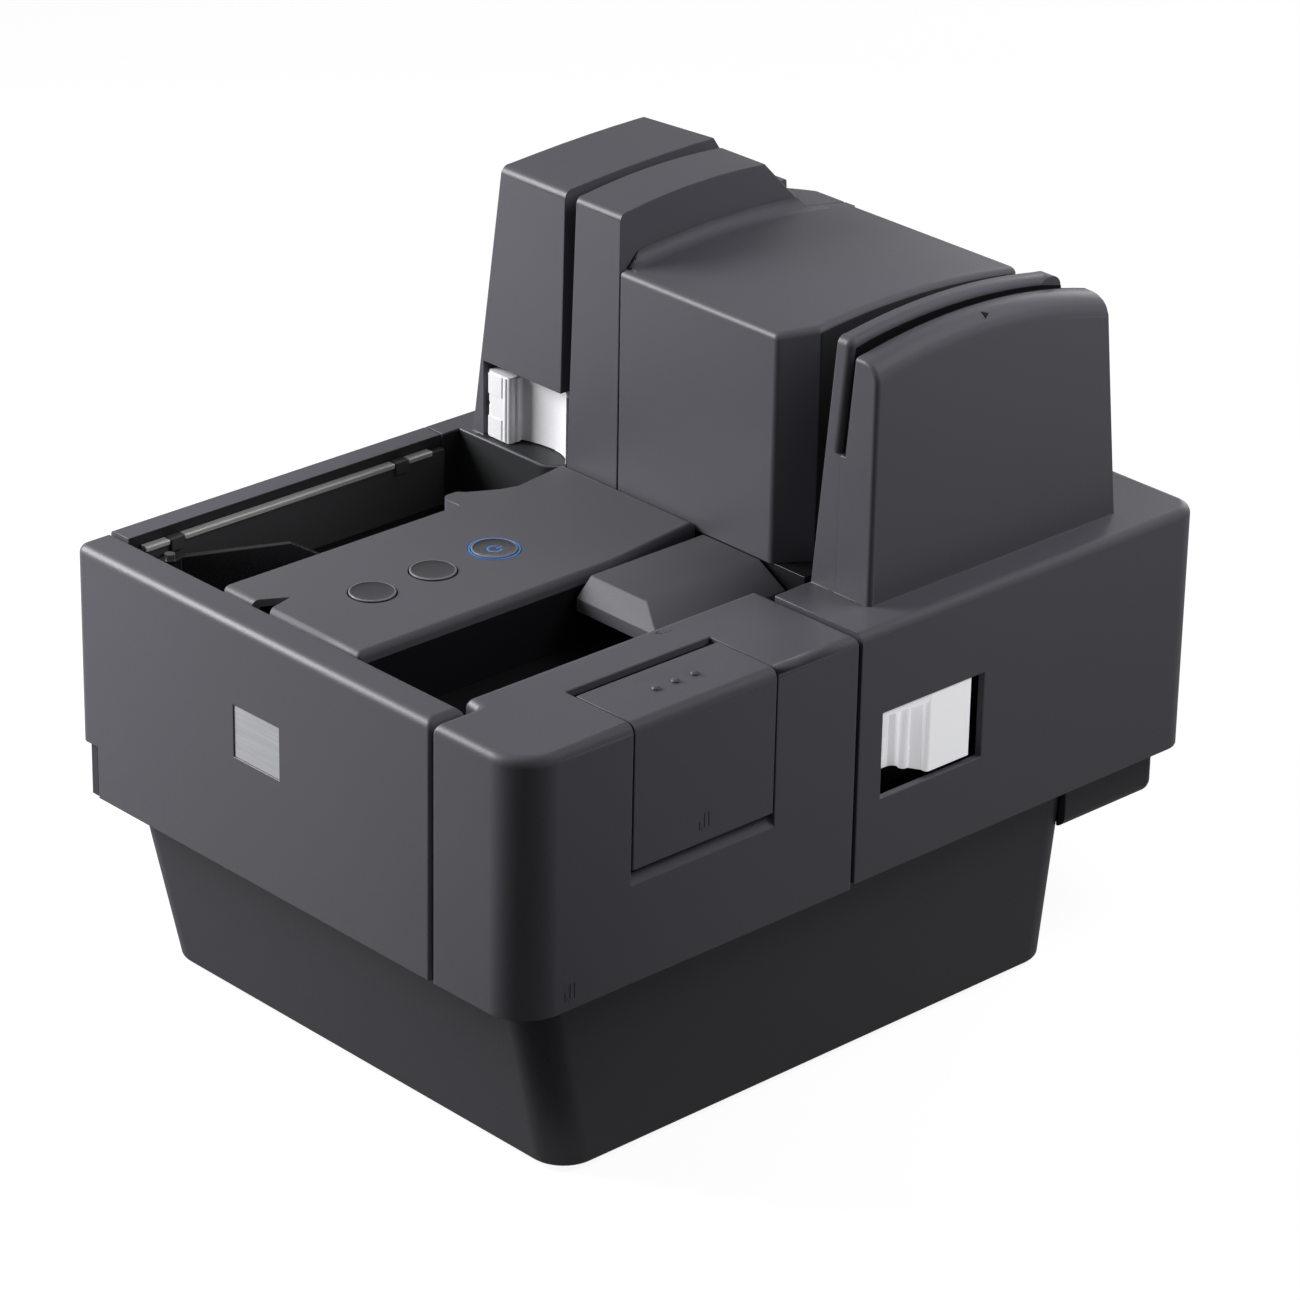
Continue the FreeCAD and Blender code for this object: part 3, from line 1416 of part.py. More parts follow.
def right_cover_plan():
    step = right_track_outer + guide_clearance
    end = right_hinge_x - knuckle_radius
    front = right_seam_y + seam / 2
    return [(right_track_outer, front), (right_side, front), (right_side, rear_face, corner_round),
            (end, rear_face, knuckle_radius - seat_gap), (end, hinge_y - step + end),
            (step, turn_outer_y - knuckle_radius), (step, turn_start_y),
            (right_track_outer, turn_start_y)]


def right_tower_tops(front_top, peak_top, rear_top, share, front_round, end_round, setback):
    # The arched top line of one wall of the right tower.
    rear = rear_face - tower_rear_setback
    peak = tower_front + (rear - tower_front) * share
    return [(tower_front, front_top, front_round, (peak, peak_top)),
            (rear - tower_rear_lean - setback, rear_top, end_round)]


def right_tower_body():
    # A tapered fin and a heavier outer wall with the leaning card slot between them.
    outer_x = right_side - right_tower_outer_inset
    fin_low, fin_high = right_track_outer, right_track_outer + fin_lean
    bottom = body_top - wall * 2
    fin_side = tower_side(tower_front, tower_rear_lean,
                          right_tower_tops(fin_front_top, fin_peak_top, fin_rear_top, fin_peak_share,
                                           fin_front_round, fin_end_round, fin_rear_setback), 0, bottom)
    wall_side = tower_side(tower_front, tower_rear_lean,
                           right_tower_tops(card_wall_front_top, card_wall_peak_top,
                                            card_wall_rear_top, card_wall_peak_share, 0, 0, 0), 0, bottom)
    slope = fin_lean / (fin_front_top - body_top)
    slot_low = right_track_outer + slope * (card_slot_floor - body_top) + fin_thickness
    slot_high = slot_low + slope * (overall_height - card_slot_floor)
    fin = prism("yz", fin_side, left_side, right_side).common(
        prism("xz", [(fin_low, bottom), (fin_low, body_top), (fin_high, fin_front_top),
                     (fin_high + slope * (overall_height - fin_front_top), overall_height),
                     (slot_high, overall_height), (slot_low, card_slot_floor), (slot_low, bottom)],
              front_face, rear_face))
    outer_wall = prism("yz", wall_side, left_side, right_side).common(
        prism("xz", [(slot_low, bottom), (slot_low, card_slot_floor),
                     (slot_low + card_slot_width, card_slot_floor),
                     (slot_high + card_slot_width, overall_height), (outer_x, overall_height),
                     (outer_x, bottom)], front_face, rear_face))
    outer_wall = rounded(outer_wall, card_wall_round,
                         lambda edge: lies_at(edge, "X", outer_x)
                         and edge.BoundBox.ZMin > card_wall_rear_top - overrun)
    outer_wall = rounded(outer_wall, edge_round / 2,
                         lambda edge: edge.BoundBox.YMax < tower_front + seat_gap
                         and edge.BoundBox.XMax > outer_x - card_wall_round - seat_gap
                         and edge.BoundBox.ZMax > card_wall_rear_top)
    fin = rounded(fin, fin_slot_round,
                  lambda edge: edge.BoundBox.ZMax > card_slot_floor + overrun
                  and edge.BoundBox.YMin < tower_front + fin_front_round + seat_gap
                  and all(abs(end.X - slot_low - slope * (end.Z - card_slot_floor)) < seat_gap
                          for end in edge.Vertexes))
    return fused([fin, outer_wall])


def right_cover():
    # The right swing cover with the card slot tower and the lever opening in its side.
    plan = right_cover_plan()
    low = prism("xy", plan, right_cover_bottom, body_top)
    low = rounded(low, edge_round,
                  lambda edge: lies_at(edge, "Z", body_top)
                  and (lies_at(edge, "X", right_side) or lies_at(edge, "Y", rear_face)
                       or edge.BoundBox.XMin > right_side - corner_round - seat_gap
                       and edge.BoundBox.YMin > rear_face - corner_round - seat_gap))
    outer = fused([low, right_tower_body()])
    outer = outer.cut(box(left_side, turn_start_y, track_floor, right_track_outer + guide_clearance,
                          rear_face - turn_setback / 2, overall_height + overrun))
    under = prism("xy", [(0, right_seam_y), (right_side - wall, right_seam_y),
                         (right_side - wall, rear_face - wall, corner_round - wall),
                         (0, rear_face - wall)],
                  right_cover_bottom - overrun, track_floor + panel_gap)
    shell = outer.cut(under)
    inner_low = Part.Face(outline("xy", plan, track_floor)).makeOffset2D(-wall)
    inner_low = inner_low.extrude(FreeCAD.Vector(0, 0, body_top - wall - track_floor))
    shell = shell.cut(inner_low)
    outer_x = right_side - right_tower_outer_inset
    slope = fin_lean / (fin_front_top - body_top)
    room_low = right_track_outer + wall
    room = prism("xz", [(room_low, body_top - wall * 2), (room_low, body_top),
                        (room_low + slope * (tower_cavity_top - body_top), tower_cavity_top),
                        (outer_x - wall, tower_cavity_top), (outer_x - wall, body_top - wall * 2)],
                 tower_front + wall, rear_face - tower_rear_setback - tower_rear_lean)
    room = room.cut(box(left_side, turn_start_y - wall, 0, right_track_outer + guide_clearance + wall,
                        rear_face, overall_height))
    shell = shell.cut(room)
    y0 = right_seam_y + right_lever_opening_start
    opening = box(right_side - wall - overrun, y0, right_lever_bottom, right_side + overrun,
                  y0 + right_lever_opening_length, right_lever_top)
    shell = shell.cut(opening)
    head_x, head_y, head_low = card_head()
    shell = shell.cut(box(head_x, head_y - head_size / 2 - seat_gap, head_low - seat_gap,
                          head_x + thin_wall * 3 + seat_gap, head_y + head_size / 2 + seat_gap,
                          head_low + head_size + seat_gap))
    x, y, radius = pinch_place(1)
    shell = shell.cut(box(right_track_inner, y - radius - window_gap, track_floor, x,
                          y + radius + window_gap, window_top()))
    return with_hinge(shell, 1)


def right_lever():
    # A flush pale plate with a finger hollow in front of it and flanges above the hollow.
    y0 = right_seam_y + right_lever_opening_start
    end = y0 + right_lever_opening_length - right_lever_travel - lever_clearance
    plate_start = end - right_lever_plate
    face = right_side - running_gap
    back = face - right_lever_depth
    bottom = right_lever_bottom + right_lever_margin
    top = right_lever_top - running_gap
    start = y0 + running_gap
    points = [(face, end, small_round), (face - lever_thickness, end),
              (face - lever_thickness, plate_start + lever_thickness),
              (back, plate_start + lever_thickness * 2), (back - lever_thickness, plate_start),
              (back - lever_thickness, start), (back, start), (back, plate_start - lever_thickness * 2,
                                                              lever_thickness),
              (face - lever_thickness, plate_start, small_round), (face, plate_start, small_round)]
    body = prism("xy", points, bottom, top)
    shelf = box(back - lever_thickness / 2, start, top - lever_shelf, face - lever_thickness,
                plate_start + lever_thickness, top)
    return fused([body, shelf])


def lever_slide(side):
    # The fixed runner on each swing cover that carries its lever.
    if side > 0:
        y0 = right_seam_y + right_lever_opening_start
        back = right_side - running_gap - right_lever_depth - lever_thickness - running_gap
        low = right_lever_bottom - wall * 2
        plate = box(back - thin_wall, y0, low, back, y0 + right_lever_opening_length, right_lever_top)
        arm = box(back - thin_wall, y0, right_lever_top, right_side - wall - seat_gap,
                  y0 + right_lever_opening_length, right_lever_top + thin_wall)
        return fused([plate, arm])
    left = left_track_outer - left_lever_opening_width
    back = tower_front + left_lever_setback + left_lever_depth + running_gap
    high = body_top + running_gap + left_lever_height
    return box(left + small_round, back, body_top, left_track_outer - wall, back + thin_wall, high)


def roller_top():
    return body_top - roller_top_gap


def window_top():
    return body_top - wall


def drive_places():
    side_y = tower_front + roller_side_setback
    left = left_track_inner - roller_reach + roller_radius
    right = right_track_inner + roller_reach - roller_radius
    middle = (left_track_inner + right_track_inner) / 2
    rear = turn_inner_y + roller_reach - roller_radius
    return [(left, side_y, roller_radius), (middle, rear, roller_radius), (right, side_y, roller_radius)]


def feed_roller_place():
    x = panel_left - feed_roller_reach + feed_roller_radius
    return x, pocket_front + feed_roller_setback, feed_roller_radius


def shaft_places():
    return drive_places() + [feed_roller_place()]


def pinch_place(side):
    left, _, right = drive_places()
    x, y, radius = right if side > 0 else left
    return x + side * (radius + roller_gap + pinch_radius), y, pinch_radius


def turn_pinch_place():
    x, y, radius = drive_places()[1]
    return x, y + radius + roller_gap + pinch_radius, pinch_radius


def motor_place():
    return right_side - motor_x_inset, pocket_front + motor_setback


def belt_level():
    return deck_bottom - pulley_drop


def drive_roller(place):
    # A rubber-covered roller on a steel shaft with a flanged pulley under the deck.
    x, y, radius = place
    bottom = track_floor + roller_bottom_gap
    shaft_low = belt_level() - pulley_flange_thickness
    shaft = cylinder(x, y, shaft_low, roller_top() + wall, roller_shaft_radius)
    tyre = cylinder(x, y, bottom, roller_top(), radius)
    level = belt_level()
    pulley = cylinder(x, y, level, level + pulley_width, pulley_radius)
    flange = pulley_radius + pulley_flange + belt_thickness
    low_flange = cylinder(x, y, level - pulley_flange_thickness, level, flange)
    return fused([shaft, tyre, pulley, low_flange])


def pinch_roller(place):
    x, y, radius = place
    bottom = track_floor + roller_bottom_gap
    roller = cylinder(x, y, bottom, roller_top(), radius)
    return roller.cut(cylinder(x, y, bottom - overrun, roller_top() + overrun,
                               pinch_pin_radius + pin_gap))


def pinch_bracket(side):
    # A small yoke on each swing cover that holds the pinch roller's pin.
    x, y, radius = pinch_place(side)
    bottom = track_floor + roller_bottom_gap - running_gap
    top = roller_top() + running_gap
    outward = x + side * (radius + running_gap)
    far = outward + side * bracket_thickness
    span = pinch_pin_radius + thin_wall
    x0, x1 = min(x - side * span, far), max(x - side * span, far)
    lower = box(x0, y - span, bottom - bracket_thickness / 2, x1, y + span, bottom)
    upper = box(x0, y - span, top, x1, y + span, top + bracket_thickness)
    back = box(min(outward, far), y - radius, bottom - bracket_thickness / 2,
               max(outward, far), y + radius, top + bracket_thickness)
    pin = cylinder(x, y, bottom - bracket_thickness / 2, top + bracket_thickness, pinch_pin_radius)
    hanger = box(x0, y - span, top + bracket_thickness, x1, y + span, body_top - wall)
    return fused([lower, upper, back, pin, hanger])


def track_pins():
    # The pins that stand in the deck: the pusher's and that of the pinch roller at the turn.
    x, y, radius = turn_pinch_place()
    top = roller_top() + running_gap
    pin = cylinder(x, y, track_floor, body_top - wall - seat_gap, pinch_pin_radius)
    collar = cylinder(x, y, top, top + bracket_thickness, pinch_pin_radius * 2)
    return Part.makeCompound([fused([pin, collar]), pusher_pin()])


def belt_path():
    # The pulleys in the order in which the belt goes round them, with their radii.
    left, rear, right = drive_places()
    feed = feed_roller_place()
    motor = motor_place()
    return [(left[0], left[1], pulley_radius), (rear[0], rear[1], pulley_radius),
            (right[0], right[1], pulley_radius), (motor[0], motor[1], motor_pulley_radius),
            (feed[0], feed[1], pulley_radius)]


def belt_wire(extra, at):
    # The outline of the belt: straight runs that are tangent to each pulley in turn.
    path = belt_path()
    count = len(path)
    tangents = []
    for i in range(count):
        x0, y0, r0 = path[i]
        x1, y1, r1 = path[(i + 1) % count]
        r0, r1 = r0 + extra, r1 + extra
        span = math.hypot(x1 - x0, y1 - y0)
        angle = math.atan2(y1 - y0, x1 - x0) + math.acos((r0 - r1) / span)
        nx, ny = math.cos(angle), math.sin(angle)
        tangents.append(((x0 + nx * r0, y0 + ny * r0), (x1 + nx * r1, y1 + ny * r1), (nx, ny)))
    edges = []
    for i in range(count):
        start, end, normal = tangents[i]
        a, b = FreeCAD.Vector(*start, at), FreeCAD.Vector(*end, at)
        edges.append(Part.LineSegment(a, b).toShape())
        x, y, radius = path[(i + 1) % count]
        radius += extra
        following = tangents[(i + 1) % count]
        mx, my = normal[0] + following[2][0], normal[1] + following[2][1]
        length = math.hypot(mx, my)
        middle = FreeCAD.Vector(x + mx / length * radius, y + my / length * radius, at)
        edges.append(Part.Arc(b, middle, FreeCAD.Vector(*following[0], at)).toShape())
    return Part.Wire(edges)


def drive_belt():
    level = belt_level() + (pulley_width - belt_width) / 2
    height = FreeCAD.Vector(0, 0, belt_width)
    outer = Part.Face(belt_wire(belt_gap + belt_thickness, level)).extrude(height)
    inner = Part.Face(belt_wire(belt_gap, level)).extrude(height)
    return outer.cut(inner)


def drive_motor():
    # The motor stands through the base plate, under a plate that hangs from the deck.
    x, y = motor_place()
    level = belt_level()
    top = level - overrun
    body = cylinder(x, y, top - motor_height, top, motor_radius)
    boss = cylinder(x, y, top, top + small_round, motor_radius / 3)
    shaft_bore = cylinder(x, y, top - motor_height / 2, top + overrun, motor_shaft_radius + pin_gap)
    lug = post_width
    plate = box(x - post_width / 2, y - motor_radius - lug, top - thin_wall,
                x + post_width / 2, y + motor_radius + lug, top)
    pieces = [body, boss, plate]
    for side in (-1, 1):
        centre = y + side * (motor_radius + lug / 2)
        pieces.append(box(x - post_width / 2, centre - lug / 2, top, x + post_width / 2, centre + lug / 2,
                          deck_bottom))
    return fused(pieces).cut(shaft_bore)


def motor_pulley():
    x, y = motor_place()
    level = belt_level()
    low = level - overrun - motor_height / 3
    flange = motor_pulley_radius + pulley_flange + belt_thickness
    pieces = [cylinder(x, y, low, level + pulley_width, motor_shaft_radius),
              cylinder(x, y, level, level + pulley_width, motor_pulley_radius)]
    pieces.append(cylinder(x, y, level - pulley_flange_thickness, level, flange))
    return fused(pieces)


def image_sensor(side):
    # A tall contact image sensor bar beside the left track.
    y = tower_front + sensor_setback
    low = track_floor + roller_bottom_gap * 2
    high = body_top + sensor_height - roller_top_gap
    face = left_track_inner if side > 0 else left_track_outer
    near = face + side * (sensor_inset + sensor_glass_thickness)
    far = face + side * sensor_depth
    return box(min(near, far), y, low, max(near, far), y + sensor_length, high)


def sensor_glass(side):
    y = tower_front + sensor_setback
    low = track_floor + roller_bottom_gap * 2
    high = body_top + sensor_height - roller_top_gap
    face = left_track_inner if side > 0 else left_track_outer
    near = face + side * sensor_inset
    far = near + side * sensor_glass_thickness
    return box(min(near, far), y, low, max(near, far), y + sensor_length, high)


def magnet_head():
    # The magnetic reading head with a rounded face towards the cheque.
    y = magnet_y()
    low = track_floor + roller_bottom_gap + seat_gap
    high = body_top - wall * 2 - seat_gap
    back = left_track_inner + magnet_head_depth
    front = left_track_inner + seat_gap
    points = [(back, y - head_size / 2), (back, y + head_size / 2),
              (front + thin_wall, y + head_size / 2, 0, (front, y)),
              (front + thin_wall, y - head_size / 2)]
    head = prism("xy", points, low, high)
    foot = box(back - thin_wall, y - head_size / 2, track_floor, back, y + head_size / 2, low)
    return fused([head, foot])


def card_head():
    # The card reading head, set into the outer wall of the card slot.
    slope = fin_lean / (fin_front_top - body_top)
    floor_x = right_track_outer + slope * (card_slot_floor - body_top) + fin_thickness + card_slot_width
    y = (tower_front + rear_face - tower_rear_setback) / 2
    low = card_slot_floor + wall
    return floor_x, y, low


def card_reader_head():
    x, y, low = card_head()
    return box(x + thin_wall, y - head_size / 2, low, x + thin_wall * 3, y + head_size / 2,
               low + head_size)


def main_board():
    # The main circuit board on stand-offs in the pedestal, with its larger components.
    rib_top = foot_stand + pedestal_wall + pedestal_rib_height
    bottom = rib_top + main_board_stand
    ribs = rib_places()
    x0, y0 = -main_board_width / 2, ribs[0] - main_board_margin
    length_of_board = ribs[-1] - ribs[0] + main_board_margin * 2
    board = box(x0, y0, bottom, x0 + main_board_width, y0 + length_of_board, bottom + board_thickness)
    top = bottom + board_thickness
    pieces = [board]
    for (length, width, height), (share_x, share_y) in zip(chip_sizes, chip_place_shares):
        x, y = x0 + main_board_width * share_x, y0 + length_of_board * share_y
        pieces.append(box(x - length / 2, y - width / 2, top, x + length / 2, y + width / 2, top + height))
    for x in (x0 + main_board_margin, x0 + main_board_width - main_board_margin):
        for y in (ribs[0], ribs[-1]):
            pieces.append(cylinder(x, y, rib_top, bottom, thin_wall))
    return fused(pieces)


def build():
    left, rear, right = drive_places()
    feed = feed_roller_place()
    save("pedestal", pedestal())
    save("rubber_feet", rubber_feet())
    save("rear_underbody", rear_underbody())
    save("power_inlet", power_inlet())
    save("data_socket", data_socket())
    save("main_chassis", main_chassis())
    save("left_sill", left_sill())
    save("front_cover", front_cover())
    save("badge_plate", badge_plate())
    save("left_wall", left_wall())
    save("right_front_cover", right_front_cover())
    save("hatch_cover", hatch_cover())
    save("hatch_pin", hatch_pin())
    save("cartridge_holder", cartridge_holder())
    save("print_cartridge", print_cartridge())
    save("transport_deck", transport_deck())
    save("hopper_liner", hopper_liner())
    save("wear_strip", wear_strip())
    save("pusher_plate", pusher_plate())
    save("control_panel", control_panel())
    for index, name in enumerate(("front_button", "middle_button", "power_button")):
        save(name, button(index))
    save("power_ring", power_ring())
    save("button_board", button_board())
    save("exit_head", exit_head())
    save("centre_block_cover", centre_block_cover())
    save("centre_block_ridge", centre_block_ridge())
    save("track_guide", track_guide())
    save("turn_guide", turn_guide())
    save("rear_cover", rear_cover())
    for side, name in ((-1, "left"), (1, "right")):
        save(name + "_hinge_bracket", hinge_bracket(side))
        save(name + "_pinch_roller", pinch_roller(pinch_place(side)))
        save(name + "_pinch_bracket", pinch_bracket(side))
        save(name + "_lever_slide", lever_slide(side))
    save("hinge_pins", hinge_pins())
    save("left_cover", left_cover())
    save("left_lever", left_lever())
    save("right_cover", right_cover())
    save("right_lever", right_lever())
    for name, place in (("left", left), ("rear", rear), ("right", right), ("feed", feed)):
        save(name + "_drive_roller", drive_roller(place))
    save("turn_pinch_roller", pinch_roller(turn_pinch_place()))
    save("track_pins", track_pins())
    save("drive_belt", drive_belt())
    save("drive_motor", drive_motor())
    save("motor_pulley", motor_pulley())
    save("inner_image_sensor", image_sensor(1))
    save("inner_sensor_glass", sensor_glass(1))
    save("outer_image_sensor", image_sensor(-1))
    save("outer_sensor_glass", sensor_glass(-1))
    save("magnet_head", magnet_head())
    save("card_reader_head", card_reader_head())
    save("main_board", main_board())


build()
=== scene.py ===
import json
import logging
from dataclasses import dataclass, field
from enum import Enum
from math import cos, pi, radians, sin
from typing import Any, Callable, Optional, Sequence, Union

import bmesh
import bpy
from mathutils import Matrix, Vector


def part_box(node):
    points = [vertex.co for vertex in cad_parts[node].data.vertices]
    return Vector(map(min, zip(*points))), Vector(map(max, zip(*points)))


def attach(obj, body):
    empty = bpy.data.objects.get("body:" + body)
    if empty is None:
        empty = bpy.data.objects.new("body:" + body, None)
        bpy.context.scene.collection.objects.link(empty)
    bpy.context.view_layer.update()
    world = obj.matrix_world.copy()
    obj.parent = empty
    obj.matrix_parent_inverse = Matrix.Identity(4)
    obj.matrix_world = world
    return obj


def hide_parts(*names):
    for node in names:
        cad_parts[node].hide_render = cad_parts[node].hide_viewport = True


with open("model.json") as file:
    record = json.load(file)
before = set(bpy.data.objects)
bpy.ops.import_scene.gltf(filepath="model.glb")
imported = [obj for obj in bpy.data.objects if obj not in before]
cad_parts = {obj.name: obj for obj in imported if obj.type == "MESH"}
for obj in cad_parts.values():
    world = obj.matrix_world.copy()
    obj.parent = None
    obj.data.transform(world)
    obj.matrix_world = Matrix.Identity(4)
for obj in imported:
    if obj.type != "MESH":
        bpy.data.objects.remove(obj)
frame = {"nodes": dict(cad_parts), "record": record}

LOG = logging.getLogger("cheque_scanner")
Colour = tuple[float, float, float]
Rgba = tuple[float, float, float, float]
Point = tuple[float, float, float]
Pair = tuple[float, float]
Inputs = dict[Union[str, int], Any]

MM = 0.001
UP = (0, 0, 1)
WHITE = (1, 1, 1, 1)
BLACK = (0, 0, 0, 1)
FULL_TURN = 2 * pi
QUARTER_TURN = pi / 2
WELD_DISTANCE = 0.004 * MM
SLIVER = WELD_DISTANCE / 8
FLAT_ANGLE = radians(0.6)
SHARP_ANGLE = radians(34)
SMOOTH_ANGLE = radians(32)

# The least length of an edge that is broken, in widths of the break
EASING_ROOM = 2.2

# Thin skins of painted shade: how thick they are, and how far they stand off the face they cover
SKIN_THICKNESS = 0.1 * MM
SKIN_GAP = 0.12 * MM

# Steps of round work
CORNER_STEPS = 10
POST_SIDES = 24
DOME_STEPS = 24

# How many finer layers a noise has, and its middle level
SOFT, EVEN, FINE, SHARP = 2.0, 3.0, 4.0, 5.0
NOISE_MIDDLE = 0.5

# Sockets of a Mix node that blends colours, whose names repeat
MIX_FACTOR, MIX_FIRST, MIX_SECOND, MIX_RESULT = 0, 6, 7, 2

# The standard curve between a screen's levels and linear light
SCREEN_WHITE = 255
CURVE_KNEE, CURVE_SLOPE, CURVE_OFFSET, CURVE_POWER = 0.04045, 12.92, 0.055, 2.4


# Shader graphs


@dataclass(frozen=True)
class Term:
    """One output socket of a shader graph, with arithmetic that adds Math nodes."""

    graph: "Graph"
    socket: bpy.types.NodeSocket

    def _with(self, operation: str, first: Any, second: Any) -> "Term":
        """The result of a new Math node on two numbers or terms."""
        return self.graph.term("ShaderNodeMath", {0: first, 1: second}, operation=operation)

    def __add__(self, other: Any) -> "Term":
        """Sum."""
        return self._with("ADD", self, other)

    def __sub__(self, other: Any) -> "Term":
        """Difference."""
        return self._with("SUBTRACT", self, other)

    def __rsub__(self, other: Any) -> "Term":
        """Difference with a number first."""
        return self._with("SUBTRACT", other, self)

    def __mul__(self, other: Any) -> "Term":
        """Product."""
        return self._with("MULTIPLY", self, other)

    def __pow__(self, other: Any) -> "Term":
        """Power."""
        return self._with("POWER", self, other)

    def above(self, level: float) -> "Term":
        """One where the value passes a level and zero elsewhere."""
        return self._with("GREATER_THAN", self, level)


class Graph:
    """The node tree of one material or world."""

    def __init__(self, owner: Union[bpy.types.Material, bpy.types.World]) -> None:
        """Start from an empty tree.

        Args:
            owner: the material or world that the tree belongs to.
        """
        owner.use_nodes = True
        self.tree = owner.node_tree
        self.tree.nodes.clear()

    def node(self, kind: str, inputs: Optional[Inputs] = None, **settings: Any) -> bpy.types.Node:
        """Add a node.

        Args:
            kind: the node's type.
            inputs: values or terms by the socket's name or number.
            settings: the node's own properties by name.

        Returns:
            The new node.
        """
        made = self.tree.nodes.new(kind)
        for name, value in settings.items():
            setattr(made, name, value)
        for name, value in (inputs or {}).items():
            if isinstance(value, Term):
                self.tree.links.new(value.socket, made.inputs[name])
            else:
                made.inputs[name].default_value = value
        return made

    def term(self, kind: str, inputs: Optional[Inputs] = None, output: Union[str, int] = 0,
             **settings: Any) -> Term:
        """Add a node and take one of its outputs as a term."""
        return Term(self, self.node(kind, inputs, **settings).outputs[output])

    def place(self, scale: Point = (1, 1, 1)) -> Term:
        """Object coordinates, stretched by a scale."""
        coordinates = self.term("ShaderNodeTexCoord", output="Object")
        return self.term("ShaderNodeMapping", {"Vector": coordinates, "Scale": scale})

    def noise(self, size: float, detail: float = EVEN, scale: Point = (1, 1, 1)) -> Term:
        """Fractal noise whose features are about one size, in metres."""
        return self.term("ShaderNodeTexNoise", {
            "Vector": self.place(scale), "Scale": 1 / size, "Detail": detail})

    def mix(self, factor: Any, first: Any, second: Any) -> Term:
        """Blend two colours by a factor."""
        inputs = {MIX_FACTOR: factor, MIX_FIRST: first, MIX_SECOND: second}
        return self.term("ShaderNodeMix", inputs, MIX_RESULT, data_type="RGBA")

    def bump(self, height: Any, depth: float) -> Term:
        """A normal from a height, with the relief's depth in metres."""
        return self.term("ShaderNodeBump", {
            "Height": height, "Distance": depth, "Strength": 1.0}, "Normal")

    def surface(self, shader: Term) -> None:
        """Send a shader to the material's output."""
        self.node("ShaderNodeOutputMaterial", {"Surface": shader})


def linear(colour: Colour, share: float = 1.0) -> Rgba:
    """Turn a colour as seen on a screen, 0 to 255, into a linear one.

    Args:
        colour: red, green and blue as shown.
        share: a factor on the brightness as shown.

    Returns:
        The linear colour with full alpha.
    """
    levels = [min(1.0, value * share / SCREEN_WHITE) for value in colour]
    red, green, blue = [
        level / CURVE_SLOPE if level <= CURVE_KNEE
        else ((level + CURVE_OFFSET) / (1 + CURVE_OFFSET)) ** CURVE_POWER for level in levels]
    return red, green, blue, 1.0


# Finishes


@dataclass(frozen=True)
class Surface:
    """What every finish has: a name, a colour as seen on a screen, and one shader."""

    name: str
    colour: Colour

    def tone(self, share: float = 1.0) -> Rgba:
        """The colour, darker or brighter by a share."""
        return linear(self.colour, share)

    def inputs(self, graph: Graph) -> Inputs:
        """The shader's inputs, which each kind of finish says for itself."""
        raise NotImplementedError

    def make(self) -> bpy.types.Material:
        """Build the material.

        Returns:
            The new material.
        """
        material = bpy.data.materials.new(self.name)
        graph = Graph(material)
        graph.surface(graph.term("ShaderNodeBsdfPrincipled", self.inputs(graph)))
        return material


@dataclass(frozen=True)
class MouldedPlastic(Surface):
    """Injection-moulded plastic with a fine spark-eroded grain and soft clouds.

    Its colour may also glow a little: painted light that brightens its shaded sides.
    """

    roughness: float = 0.44
    grain: float = 0.55 * MM
    relief: float = 0.035 * MM
    mottle: float = 0.03
    specular: float = 0.42
    coat: float = 0.0
    # Strength of the emission of its own colour: painted light
    painted_glow: float = 0.0
    coat_roughness: float = 0.25
    cloud: float = 60 * MM
    speck_level: float = 0.62
    speck_share: float = 0.25
    speck_tone: float = 1.12
    grain_gloss: float = 0.16
    cloud_gloss: float = 0.08

    def inputs(self, graph: Graph) -> Inputs:
        """The shader's inputs.

        Args:
            graph: the material's node tree.

        Returns:
            Values and terms by the socket's name.
        """
        grain = graph.noise(self.grain, FINE)
        cloud = graph.noise(self.cloud, SOFT)
        colour = graph.mix(cloud, self.tone(1 - self.mottle), self.tone(1 + self.mottle))
        specks = grain.above(self.speck_level) * self.speck_share
        colour = graph.mix(specks, colour, self.tone(self.speck_tone))
        uneven_grain = (grain - NOISE_MIDDLE) * self.grain_gloss
        uneven_cloud = (cloud - NOISE_MIDDLE) * self.cloud_gloss
        inputs = {
            "Base Color": colour, "Roughness": uneven_grain + uneven_cloud + self.roughness,
            "Specular IOR Level": self.specular, "Coat Weight": self.coat,
            "Coat Roughness": self.coat_roughness, "Normal": graph.bump(grain, self.relief)}
        # Emission of its own colour: painted light on the shaded sides
        if self.painted_glow:
            inputs.update({"Emission Color": colour, "Emission Strength": self.painted_glow})
        return inputs


@dataclass(frozen=True)
class BrushedMetal(Surface):
    """Sheet steel or aluminium with fine parallel scratches."""

    roughness: float = 0.24
    stretch: Point = (1.0, 0.02, 1.0)
    metallic: float = 1.0
    scratch: float = 0.35 * MM
    relief: float = 0.01 * MM
    cloud: float = 9 * MM
    dark_tone: float = 0.86
    bright_tone: float = 1.06
    scratch_gloss: float = 0.2
    cloud_gloss: float = 0.12

    def inputs(self, graph: Graph) -> Inputs:
        """The shader's inputs.

        Args:
            graph: the material's node tree.

        Returns:
            Values and terms by the socket's name.
        """
        scratches = graph.noise(self.scratch, SHARP, self.stretch)
        cloud = graph.noise(self.cloud, SOFT)
        uneven = (scratches - NOISE_MIDDLE) * self.scratch_gloss + cloud * self.cloud_gloss
        colour = graph.mix(scratches, self.tone(self.dark_tone), self.tone(self.bright_tone))
        return {
            "Base Color": colour, "Metallic": self.metallic, "Roughness": uneven + self.roughness,
            "Normal": graph.bump(scratches, self.relief)}


